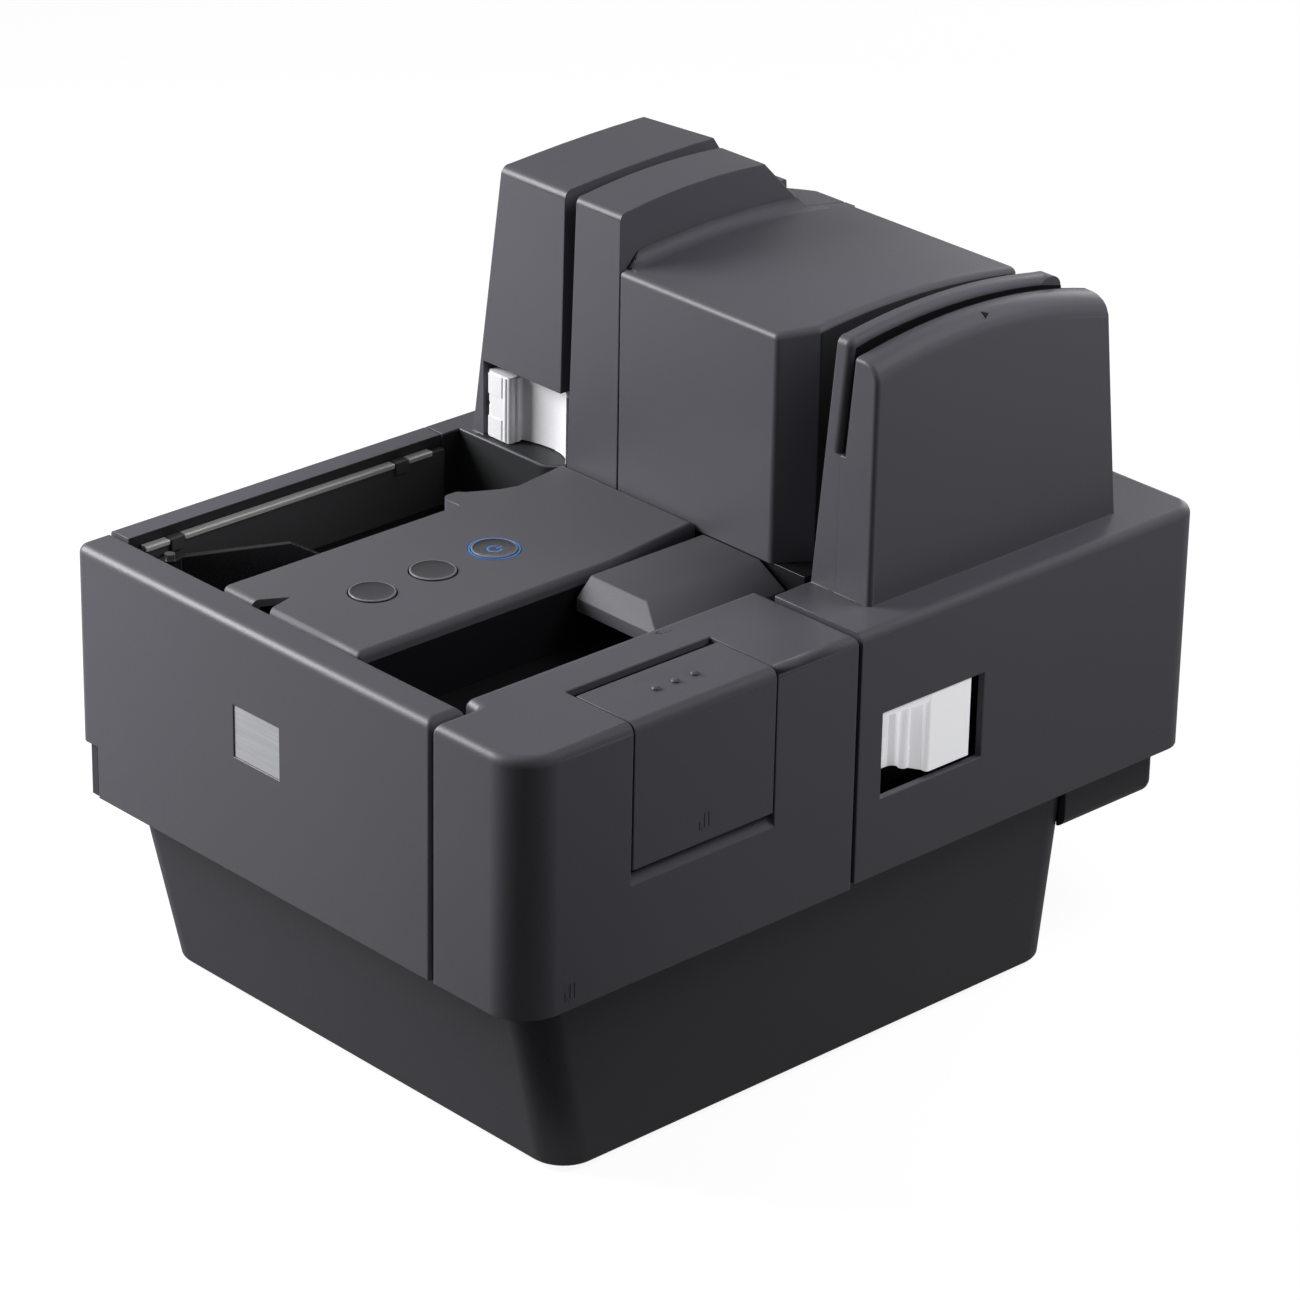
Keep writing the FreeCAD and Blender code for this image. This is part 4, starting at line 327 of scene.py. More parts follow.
@dataclass(frozen=True)
class GroundRubber(Surface):
    """Black rubber with a dull ground surface and a little dust."""

    colour: Colour = (34, 34, 35)
    roughness: float = 0.68
    grain: float = 0.3 * MM
    relief: float = 0.05 * MM
    specular: float = 0.3
    dust: float = 4 * MM
    dust_power: float = 3
    dust_tone: float = 2.0
    grain_gloss: float = 0.2

    def inputs(self, graph: Graph) -> Inputs:
        """The shader's inputs.

        Args:
            graph: the material's node tree.

        Returns:
            Values and terms by the socket's name.
        """
        grain = graph.noise(self.grain, SHARP)
        dust = graph.noise(self.dust, FINE) ** self.dust_power
        return {
            "Base Color": graph.mix(dust, self.tone(), self.tone(self.dust_tone)),
            "Roughness": grain * self.grain_gloss + self.roughness,
            "Specular IOR Level": self.specular, "Normal": graph.bump(grain, self.relief)}


@dataclass(frozen=True)
class DarkGlass(Surface):
    """The smoked cover glass of an image sensor."""

    colour: Colour = (26, 30, 36)
    roughness: float = 0.05
    specular: float = 0.6
    coat_roughness: float = 0.03
    smear: float = 12 * MM
    smear_tone: float = 0.2
    smear_gloss: float = 0.06

    def inputs(self, graph: Graph) -> Inputs:
        """The shader's inputs.

        Args:
            graph: the material's node tree.

        Returns:
            Values and terms by the socket's name.
        """
        smear = graph.noise(self.smear)
        return {
            "Base Color": graph.mix(smear, self.tone(1 - self.smear_tone),
                                    self.tone(1 + self.smear_tone)),
            "Roughness": smear * self.smear_gloss + self.roughness,
            "Specular IOR Level": self.specular, "Coat Weight": 1.0,
            "Coat Roughness": self.coat_roughness}


@dataclass(frozen=True)
class CoatedBoard(Surface):
    """Green solder resist over copper tracks."""

    colour: Colour = (28, 82, 48)
    roughness: float = 0.38
    coat: float = 0.4
    relief: float = 0.03 * MM
    track: float = 14 * MM
    track_gap: float = 0.012
    track_share: float = 0.4
    track_tone: float = 0.7
    cell: float = 5 * MM
    cell_edge: float = 0.06
    copper_share: float = 0.5
    copper_tone: float = 1.35
    copper_gloss: float = 0.1

    def inputs(self, graph: Graph) -> Inputs:
        """The shader's inputs.

        Args:
            graph: the material's node tree.

        Returns:
            Values and terms by the socket's name.
        """
        tracks = graph.term("ShaderNodeTexBrick", {
            "Vector": graph.place(), "Scale": 1 / self.track,
            "Mortar Size": self.track_gap}, "Fac")
        cells = graph.term("ShaderNodeTexVoronoi", {
            "Vector": graph.place(), "Scale": 1 / self.cell},
            "Distance", feature="DISTANCE_TO_EDGE")
        copper = (1 - cells.above(self.cell_edge)) * self.copper_share
        colour = graph.mix(copper, self.tone(), self.tone(self.copper_tone))
        return {
            "Base Color": graph.mix(tracks * self.track_share, colour, self.tone(self.track_tone)),
            "Roughness": copper * self.copper_gloss + self.roughness, "Coat Weight": self.coat,
            "Normal": graph.bump(copper, self.relief)}


@dataclass(frozen=True)
class LitPlastic(Surface):
    """Clear plastic that is lit from behind."""

    colour: Colour = (58, 118, 190)
    strength: float = 0.3
    roughness: float = 0.2
    spot: float = 5 * MM
    dim_tone: float = 0.75
    spot_tone: float = 1.1
    spot_gloss: float = 0.1

    def inputs(self, graph: Graph) -> Inputs:
        """The shader's inputs.

        Args:
            graph: the material's node tree.

        Returns:
            Values and terms by the socket's name.
        """
        spots = graph.noise(self.spot, SOFT)
        glow = graph.mix(spots, self.tone(self.dim_tone), self.tone(self.spot_tone))
        return {
            "Base Color": glow, "Emission Color": glow, "Emission Strength": self.strength,
            "Roughness": spots * self.spot_gloss + self.roughness}


class Finish(Enum):
    """The finishes of the scanner, one per kind of piece."""

    CASE = MouldedPlastic("case_charcoal", (81, 80, 87))
    PANEL = MouldedPlastic("panel_charcoal", (84, 83, 89), roughness=0.56)
    HOUSING = MouldedPlastic("housing_dark", (53, 52, 59), roughness=0.5)
    FRAME = MouldedPlastic("frame_black", (22, 22, 24), roughness=0.36, relief=0.015 * MM)
    ARM = MouldedPlastic("arm_black", (26, 26, 28), roughness=0.26, relief=0.008 * MM,
                         specular=0.5)
    LINER = MouldedPlastic("liner_dark", (74, 74, 76), roughness=0.42, relief=0.02 * MM)
    LEVER = MouldedPlastic("lever_pale", (230, 230, 233), roughness=0.4, relief=0.012 * MM,
                           mottle=0.01)
    # The right lever: the pale lever's colour made brighter and glowing, painted light on its
    # shaded side
    SHADED_LEVER = MouldedPlastic("lever_painted_glow", (244, 244, 247), roughness=0.4,
                                  relief=0.012 * MM, mottle=0.01, painted_glow=0.39)
    BUTTON = MouldedPlastic("button_satin", (50, 49, 54), roughness=0.3, relief=0.001 * MM,
                            coat=0.3)
    # A lighter grey ring that paints the highlight on a button's rim
    RIM = MouldedPlastic("button_rim_highlight", (122, 122, 128), roughness=0.3, relief=0.001 * MM)
    # Dark skins that paint shade into pockets, the card slot and flanks; the black one also
    # colours the feed arrow
    POCKET = MouldedPlastic("painted_shade_dark", (42, 43, 44), roughness=0.5, relief=0.02 * MM,
                            specular=0.25)
    WELL = MouldedPlastic("black_and_painted_shade", (22, 22, 25), roughness=0.55, relief=0.02 * MM,
                          specular=0.2)
    SOCKET = MouldedPlastic("socket_black", (30, 30, 32), roughness=0.4)
    SENSOR = MouldedPlastic("sensor_black", (24, 24, 27), roughness=0.3, relief=0.01 * MM)
    IDLER = MouldedPlastic("idler_acetal", (186, 186, 180), roughness=0.35, relief=0.008 * MM,
                           mottle=0.02)
    CARTRIDGE = MouldedPlastic("cartridge_black", (28, 28, 30), roughness=0.25, relief=0.01 * MM)
    # Polished steel made near-white and only partly metallic: its diffuse whiteness is a painted
    # sheen
    STRIP = BrushedMetal("strip_steel_painted_sheen", (236, 233, 231), roughness=0.3, metallic=0.4)
    PIN = BrushedMetal("pin_steel", (176, 176, 178), roughness=0.28, stretch=(1.0, 1.0, 0.05))
    CAN = BrushedMetal("motor_zinc", (150, 150, 148), roughness=0.42, stretch=(1.0, 1.0, 0.1))
    PLATE = BrushedMetal("plate_aluminium", (206, 207, 212), roughness=0.3,
                         stretch=(0.02, 1.0, 1.0), metallic=0.7)
    RUBBER = GroundRubber("roller_rubber")
    FOOT = GroundRubber("foot_rubber", (28, 28, 29))
    GLASS = DarkGlass("sensor_glass")
    BOARD = CoatedBoard("circuit_board")
    GLOW = LitPlastic("power_glow")

    def material(self) -> bpy.types.Material:
        """The finish's material, made once."""
        found = bpy.data.materials.get(self.value.name)
        return found or self.value.make()


# Making pieces


def dress(piece: bpy.types.Object, finish: Finish) -> None:
    """Give a piece one finish all over."""
    piece.data.materials.clear()
    piece.data.materials.append(finish.material())


def body_of(node: str) -> str:
    """The body that a CAD node belongs to."""
    bodies = frame["record"]["behaviour"]["bodies"]
    return next(name for name, members in bodies.items() if node in members)


def slot_of(node: str) -> str:
    """The record's material slot of a CAD node."""
    rows = frame["record"]["subparts"]
    return next(row["material_slot"] for row in rows if row["node"] == node)


def finish_piece(name: str, shape: bmesh.types.BMesh, finish: Finish, body: str, slot: str,
                 replaced: Sequence[str] = ()) -> bpy.types.Object:
    """Turn a bmesh into a finished piece of the object.

    Args:
        name: the piece's name.
        shape: its mesh, in the row frame; it is freed here.
        finish: what it is made of.
        body: the body it moves with.
        slot: the record's material slot; not used.
        replaced: the CAD nodes it stands for.

    Returns:
        The piece.
    """
    mesh = bpy.data.meshes.new(name)
    shape.to_mesh(mesh)
    shape.free()
    mesh.polygons.foreach_set("use_smooth", [True] * len(mesh.polygons))
    mesh.set_sharp_from_angle(angle=SMOOTH_ANGLE)
    piece = bpy.data.objects.new(name, mesh)
    bpy.context.scene.collection.objects.link(piece)
    flat_faces = piece.modifiers.new("flat_faces", "WEIGHTED_NORMAL")
    flat_faces.keep_sharp = True
    dress(piece, finish)
    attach(piece, body)
    if replaced:
        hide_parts(*replaced)
    LOG.info("%s: %d faces on %s", name, len(mesh.polygons), body)
    return piece


def carried_piece(name: str, shape: bmesh.types.BMesh, finish: Finish, carrier: str,
                  replaced: Sequence[str] = ()) -> bpy.types.Object:
    """A finished piece that takes the body of a CAD node; the node's slot is passed on but not
    used.
    """
    return finish_piece(name, shape, finish, body_of(carrier), slot_of(carrier), replaced)


def eased_shape(node: str, width: float, segments: int) -> bmesh.types.BMesh:
    """A copy of a CAD node's mesh with flat faces joined and its sharp edges broken.

    Args:
        node: the CAD node.
        width: the edge break's width in metres.
        segments: how many strips it has.

    Returns:
        The new mesh.
    """
    shape = bmesh.new()
    shape.from_mesh(frame["nodes"][node].data)
    bmesh.ops.remove_doubles(shape, verts=shape.verts, dist=WELD_DISTANCE)
    bmesh.ops.dissolve_limit(shape, angle_limit=FLAT_ANGLE, use_dissolve_boundaries=False,
                             verts=shape.verts, edges=shape.edges, delimit={"NORMAL"})
    long_enough = width * EASING_ROOM
    edges = [edge for edge in shape.edges if len(edge.link_faces) == 2
             and edge.calc_face_angle(0) > SHARP_ANGLE and edge.calc_length() > long_enough]
    if edges:
        bmesh.ops.bevel(shape, geom=edges, offset=width, offset_type="OFFSET", segments=segments,
                        profile=0.5, affect="EDGES", clamp_overlap=False, material=-1)
        bmesh.ops.dissolve_degenerate(shape, dist=SLIVER, edges=shape.edges)
    return shape


def turned(profile: Sequence[Pair], axis: Pair, steps: int) -> bmesh.types.BMesh:
    """Spin a profile about an upright axis.

    Args:
        profile: pairs of a radius and a height, in metres.
        axis: the axis's place in X and Y.
        steps: how many steps the turn has.

    Returns:
        The closed shape.
    """
    shape = bmesh.new()
    points = [shape.verts.new((axis[0] + radius, axis[1], height)) for radius, height in profile]
    edges = [shape.edges.new(pair) for pair in zip(points, points[1:])]
    bmesh.ops.spin(shape, geom=points + edges, cent=(*axis, 0), axis=UP, angle=FULL_TURN,
                   steps=steps, use_merge=True, use_duplicate=False)
    bmesh.ops.remove_doubles(shape, verts=shape.verts, dist=WELD_DISTANCE)
    bmesh.ops.recalc_face_normals(shape, faces=shape.faces)
    return shape


@dataclass(frozen=True)
class Bar:
    """A straight bar along the axes: its middle, its sides and its rounding in millimetres."""

    centre: Point
    size: Point
    edge: float = 0.0

    def add(self, shape: bmesh.types.BMesh) -> list[bmesh.types.BMVert]:
        """Add the bar to a mesh.

        Args:
            shape: the mesh it joins.

        Returns:
            Its eight corners, before any rounding.
        """
        verts = bmesh.ops.create_cube(shape, size=1.0)["verts"]
        bmesh.ops.scale(shape, vec=[side * MM for side in self.size], verts=verts)
        bmesh.ops.translate(shape, vec=[value * MM for value in self.centre], verts=verts)
        if self.edge:
            edges = list({link for vert in verts for link in vert.link_edges})
            bmesh.ops.bevel(shape, geom=edges, offset=self.edge * MM, offset_type="OFFSET",
                            segments=2, profile=0.5, affect="EDGES", clamp_overlap=True,
                            material=-1)
        return verts


@dataclass(frozen=True)
class Post:
    """An upright round post, in millimetres."""

    place: Pair
    radius: float
    low: float
    high: float

    def add(self, shape: bmesh.types.BMesh) -> None:
        """Add the post to a mesh.

        Args:
            shape: the mesh it joins.
        """
        verts = bmesh.ops.create_cone(
            shape, cap_ends=True, segments=POST_SIDES, radius1=self.radius * MM,
            radius2=self.radius * MM, depth=(self.high - self.low) * MM)["verts"]
        middle = (*self.place, (self.low + self.high) / 2)
        bmesh.ops.translate(shape, vec=[value * MM for value in middle], verts=verts)


def corner_path(start: Pair, centre: Pair, radius: float, end: Pair) -> list[Pair]:
    """A path in plan that turns a quarter round a corner, in millimetres.

    Args:
        start: where it starts.
        centre: the middle of the turn.
        radius: the turn's radius.
        end: where it ends.

    Returns:
        The path's points.
    """
    angles = [QUARTER_TURN * (step / CORNER_STEPS - 1) for step in range(CORNER_STEPS + 1)]
    turn = [(centre[0] + radius * cos(angle), centre[1] + radius * sin(angle)) for angle in angles]
    return [start, *turn, end]


def lift(shape: bmesh.types.BMesh, made: Sequence[Any], rise: float) -> None:
    """Move the corners that an extrusion has made up by some millimetres."""
    verts = [item for item in made if isinstance(item, bmesh.types.BMVert)]
    bmesh.ops.translate(shape, vec=(0, 0, rise * MM), verts=verts)


def upright_skin(path: Sequence[Pair], low: float, high: float) -> bmesh.types.BMesh:
    """A thin upright skin along a path in plan.

    Args:
        path: the path's points in millimetres.
        low: the height of its lower edge in millimetres.
        high: the height of its upper edge in millimetres.

    Returns:
        The closed shape.
    """
    shape = bmesh.new()
    points = [shape.verts.new((x * MM, y * MM, low * MM)) for x, y in path]
    edges = [shape.edges.new(pair) for pair in zip(points, points[1:])]
    lift(shape, bmesh.ops.extrude_edge_only(shape, edges=edges)["geom"], high - low)
    bmesh.ops.recalc_face_normals(shape, faces=shape.faces)
    bmesh.ops.solidify(shape, geom=shape.faces[:], thickness=SKIN_THICKNESS)
    bmesh.ops.recalc_face_normals(shape, faces=shape.faces)
    return shape


def flat_pad(outline: Sequence[Pair], low: float, high: float) -> bmesh.types.BMesh:
    """A flat pad with an outline in plan.

    Args:
        outline: the outline's corners in millimetres.
        low: the height of its lower face in millimetres.
        high: the height of its upper face in millimetres.

    Returns:
        The closed shape.
    """
    shape = bmesh.new()
    face = shape.faces.new([shape.verts.new((x * MM, y * MM, low * MM)) for x, y in outline])
    lift(shape, bmesh.ops.extrude_face_region(shape, geom=[face])["geom"], high - low)
    bmesh.ops.recalc_face_normals(shape, faces=shape.faces)
    return shape


def line_faces(name: str, carrier: str, finish: Finish,
               chosen: Callable[[bmesh.types.BMFace], bool]) -> None:
    """Line some faces of a CAD node with a thin skin that stands just off them.

    Args:
        name: the skin's name.
        carrier: the CAD node.
        finish: what the skin is made of.
        chosen: whether a face of the node is lined.
    """
    shape = bmesh.new()
    shape.from_mesh(frame["nodes"][carrier].data)
    others = [face for face in shape.faces if not chosen(face)]
    bmesh.ops.delete(shape, geom=others, context="FACES")
    bmesh.ops.remove_doubles(shape, verts=shape.verts, dist=WELD_DISTANCE)
    shape.normal_update()
    for vert in shape.verts:
        vert.co += vert.normal * SKIN_GAP
    bmesh.ops.solidify(shape, geom=shape.faces[:], thickness=SKIN_THICKNESS)
    carried_piece(name, shape, finish, carrier)


# The scanner


@dataclass
class PlainNodes:
    """CAD nodes whose shape is right and which only need their finish."""

    finishes: dict[Finish, tuple[str, ...]] = field(default_factory=lambda: {
        Finish.HOUSING: ("main_chassis",),
        Finish.FRAME: ("transport_deck", "cartridge_holder", "left_lever_slide",
                       "right_lever_slide", "left_pinch_bracket", "right_pinch_bracket",
                       "left_hinge_bracket", "right_hinge_bracket"),
        Finish.CAN: ("drive_motor",),
        Finish.RUBBER: ("drive_belt", "feed_drive_roller", "left_drive_roller",
                        "rear_drive_roller", "right_drive_roller"),
        Finish.IDLER: ("motor_pulley", "left_pinch_roller", "right_pinch_roller",
                       "turn_pinch_roller"),
        Finish.PIN: ("hinge_pins", "hatch_pin", "track_pins"),
        Finish.FOOT: ("rubber_feet",),
        Finish.BOARD: ("main_board", "button_board"),
        Finish.CARTRIDGE: ("print_cartridge",),
        Finish.SENSOR: ("inner_image_sensor", "outer_image_sensor", "magnet_head",
                        "card_reader_head"),
        Finish.GLASS: ("inner_sensor_glass", "outer_sensor_glass"),
        Finish.GLOW: ("power_ring",),
        Finish.SOCKET: ("power_inlet", "data_socket"),
        Finish.PLATE: ("badge_plate",)})

    def build(self) -> None:
        """Dress the nodes."""
        for finish, nodes in self.finishes.items():
            for node in nodes:
                dress(frame["nodes"][node], finish)
            LOG.info("%s: %s", finish.value.name, ", ".join(nodes))


@dataclass(frozen=True)
class EasedNodes:
    """CAD nodes of one finish that are shown with broken edges."""

    finish: Finish
    width: float
    nodes: tuple[str, ...]
    segments: int = 2

    def build(self) -> None:
        """Make the pieces that stand for the nodes."""
        for node in self.nodes:
            shape = eased_shape(node, self.width, self.segments)
            carried_piece(node + "_shell", shape, self.finish, node, [node])


@dataclass
class Case:
    """The shells, the track's guides and the two pale levers."""

    edge: float = 0.35 * MM
    lever_edge: float = 0.4 * MM
    outside: tuple[str, ...] = (
        "front_cover", "left_wall", "right_front_cover", "left_cover", "right_cover",
        "rear_cover", "centre_block_cover", "centre_block_ridge", "hatch_cover")
    panels: tuple[str, ...] = ("control_panel", "exit_head")
    below: tuple[str, ...] = ("pedestal", "rear_underbody", "left_sill")
    guides: tuple[str, ...] = ("track_guide", "turn_guide")

    def build(self) -> None:
        """Make every shell."""
        EasedNodes(Finish.CASE, self.edge, self.outside).build()
        EasedNodes(Finish.PANEL, self.edge, self.panels).build()
        EasedNodes(Finish.HOUSING, self.edge, self.below).build()
        EasedNodes(Finish.FRAME, self.edge / 2, self.guides).build()
        EasedNodes(Finish.LEVER, self.lever_edge, ("left_lever",)).build()
        # The right lever takes the lever finish with painted glow
        EasedNodes(Finish.SHADED_LEVER, self.lever_edge, ("right_lever",)).build()


@dataclass
class Hopper:
    """The lined pocket with its polished strip and sprung arm."""

    edge: float = 0.25 * MM

    def build(self) -> None:
        """Make the liner, the strip and the arm."""
        EasedNodes(Finish.LINER, self.edge, ("hopper_liner",)).build()
        # The strip's finish paints its sheen as diffuse whiteness
        EasedNodes(Finish.STRIP, self.edge / 2, ("wear_strip",)).build()
        EasedNodes(Finish.ARM, self.edge, ("pusher_plate",)).build()


@dataclass
class DishedButton:
    """A round cap on a flange with a shallow dish, and a lighter ring: a painted rim highlight.

    The points of the cap's edge and of the rim are given inwards from the cap's side and
    down from its top, in millimetres. The dish's bend is given in shares of the cap's
    radius and of the dish's depth.
    """

    node: str
    flange_width: float = 1.4 * MM
    flange_height: float = 0.9 * MM
    height: float = 3.35 * MM
    dish: float = 0.45 * MM
    dish_bend: Pair = (0.55, 0.85)
    edge_points: tuple[Pair, ...] = ((0, 0.35), (0.12, 0.1), (0.35, 0), (0.75, 0.06),
                                     (1.125, 0.2475))
    rim_points: tuple[Pair, ...] = ((0.42, 0.3), (-0.03, 0.3), (-0.03, 0.12), (0.17, -0.04),
                                    (0.42, -0.05), (0.42, 0.3))
    steps: int = 72

    def build(self) -> None:
        """Make the cap that stands for the CAD button, and its rim."""
        low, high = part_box(self.node)
        axis = ((low.x + high.x) / 2, (low.y + high.y) / 2)
        flange = (high.x - low.x) / 2
        side = flange - self.flange_width
        under = high.z - self.height
        step = under + self.flange_height
        edge, rim = ([(side - inwards * MM, high.z - down * MM) for inwards, down in points]
                     for points in (self.edge_points, self.rim_points))
        bend = (side * self.dish_bend[0], high.z - self.dish * self.dish_bend[1])
        cap = [(0, under), (flange, under), (flange, step), (side, step), *edge, bend,
               (0, high.z - self.dish)]
        carried_piece(self.node + "_cap", turned(cap, axis, self.steps), Finish.BUTTON, self.node,
                      [self.node])
        # The lighter ring on the rim is a painted highlight
        carried_piece(self.node + "_rim", turned(rim, axis, self.steps), Finish.RIM, self.node)


@dataclass
class PowerSymbol:
    """The broken ring and the bar that mark a power switch, lit blue."""

    node: str = "power_button"
    slot: str = "blue_light"
    radius: float = 2.0 * MM
    line: float = 0.5 * MM
    gap: float = radians(70)
    relief: float = 0.06 * MM
    sink: float = 0.42 * MM
    bar_place: float = 0.9
    steps: int = 40

    def build(self) -> None:
        """Make the symbol on the rear button's cap."""
        low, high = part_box(self.node)
        centre = (low + high) / 2
        bottom = high.z - self.sink
        top = bottom + self.relief
        inner, outer = self.radius - self.line / 2, self.radius + self.line / 2
        start = QUARTER_TURN + self.gap / 2
        section = ((inner, bottom), (outer, bottom), (outer, top), (inner, top))
        shape = bmesh.new()
        face = shape.faces.new([
            shape.verts.new((centre.x + away * cos(start), centre.y + away * sin(start), height))
            for away, height in section])
        bmesh.ops.spin(shape, geom=[face], cent=(centre.x, centre.y, 0), axis=UP,
                       angle=FULL_TURN - self.gap, steps=self.steps, use_merge=False,
                       use_duplicate=False)
        bar = bmesh.ops.create_cube(shape, size=1.0)["verts"]
        bmesh.ops.scale(shape, vec=(self.line, self.radius, self.relief), verts=bar)
        bar_centre = (centre.x, centre.y + self.radius * self.bar_place, (bottom + top) / 2)
        bmesh.ops.translate(shape, vec=bar_centre, verts=bar)
        bmesh.ops.recalc_face_normals(shape, faces=shape.faces)
        finish_piece("power_symbol", shape, Finish.GLOW, body_of(self.node), self.slot)


@dataclass
class PaintedShadeSkins:
    """Painted shade: dark skins in the pockets, card slot and block's flank, in millimetres."""

    ledge_top: float = 136.8
    wall_start: Pair = (-87.15, -0.9)
    wall_front: float = 5.25
    wall_end: Pair = (-44.95, 12.9)
    wall_low: float = 117.0
    wall_drop: float = 0.5
    turn_centre: Pair = (-52.1, 12.4)
    turn_radius: float = 7.15
    pad_radius: float = 6.3
    pad_left: float = -80.5
    pad_back: float = 17.2
    pad_sink: float = 0.1
    pad_rise: float = 0.12
    panel_path: tuple[Pair, ...] = ((14.15, -118.6), (14.15, 5.6))
    panel_span: Pair = (92.0, 133.2)
    slot_low: float = 179.0
    slot_sides: Pair = (70.0, 75.5)
    slot_lean: float = 0.99
    flank_lean: float = 0.97
    flank_depth: float = 9.0

    def in_slot(self, face: bmesh.types.BMFace) -> bool:
        """Whether a face of the right tower is a flank of its card slot.

        Args:
            face: the face.

        Returns:
            Whether it lies in the slot and looks across it.
        """
        left, right = self.slot_sides
        middle = face.calc_center_median() / MM
        looks_across = (middle.x < (left + right) / 2) == (face.normal.x > 0)
        return (left < middle.x < right and middle.z > self.slot_low
                and abs(face.normal.x) > self.slot_lean and looks_across)

    def walls(self) -> None:
        """Paint shade on the hopper's rear wall, the exit pocket's left wall and the ledge."""
        path = corner_path((self.wall_start[0], self.wall_front), self.turn_centre,
                           self.turn_radius, self.wall_end)
        wall_high = self.ledge_top - self.wall_drop
        wall = upright_skin([self.wall_start, *path], self.wall_low, wall_high)
        carried_piece("hopper_rear_painted_shade", wall, Finish.POCKET, "left_cover")
        front = (self.pad_left, self.turn_centre[1] - self.pad_radius)
        back = (self.turn_centre[0] + self.pad_radius, self.pad_back)
        outline = corner_path(front, self.turn_centre, self.pad_radius, back)
        pad = flat_pad([*outline, (self.pad_left, self.pad_back)], self.ledge_top - self.pad_sink,
                       self.ledge_top + self.pad_rise)
        carried_piece("lever_ledge_painted_shade", pad, Finish.POCKET, "left_cover")
        side = upright_skin(self.panel_path, *self.panel_span)
        carried_piece("exit_pocket_painted_shade", side, Finish.WELL, "control_panel")

    def build(self) -> None:
        """Make the skins of painted shade."""
        self.walls()
        # Painted shade on the hopper's side wall, the card slot's flanks and the block's flank
        line_faces("hopper_side_painted_shade", "left_wall", Finish.POCKET,
                   lambda face: face.normal.x > self.flank_lean)
        line_faces("card_slot_painted_shade", "right_cover", Finish.WELL, self.in_slot)
        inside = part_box("centre_block_cover")[1].x - self.flank_depth * MM
        line_faces("block_flank_painted_shade", "centre_block_cover", Finish.POCKET,
                   lambda face: (face.normal.x > self.flank_lean
                                 and face.calc_center_median().x > inside))


@dataclass
class LeverDetails:
    """Posts, plates and a rail on the two pale levers; the slope lifts the rail's front end."""

    left_parts: tuple[Union[Bar, Post], ...] = (
        Post((-69.5, 8.15), 0.75, 137.5, 157.6), Post((-67.7, 10.9), 0.85, 137.5, 157.6),
        Bar((-73.9, 7.75, 154.2), (6.0, 0.6, 6.6), 0.25),
        Bar((-73.9, 7.75, 140.7), (6.0, 0.6, 6.4), 0.25))
    right_post: Post = Post((88.3, 18.3), 1.6, 85.9, 108.6)
    rail: Bar = Bar((93.6, 11.9, 108.6), (2.6, 18.4, 2.2))
    rail_slope: float = 1.1

    def build(self) -> None:
        """Make the relief of both levers."""
        left = bmesh.new()
        for part in self.left_parts:
            part.add(left)
        carried_piece("left_lever_ribs", left, Finish.LEVER, "left_lever")
        right = bmesh.new()
        self.right_post.add(right)
        _, middle_y, middle_z = self.rail.centre
        lower_front = [vert for vert in self.rail.add(right)
                       if vert.co.y < middle_y * MM and vert.co.z < middle_z * MM]
        bmesh.ops.translate(right, vec=(0, 0, self.rail_slope * MM), verts=lower_front)
        # The rail takes the lever finish with painted glow
        carried_piece("right_lever_rail", right, Finish.SHADED_LEVER, "right_lever")


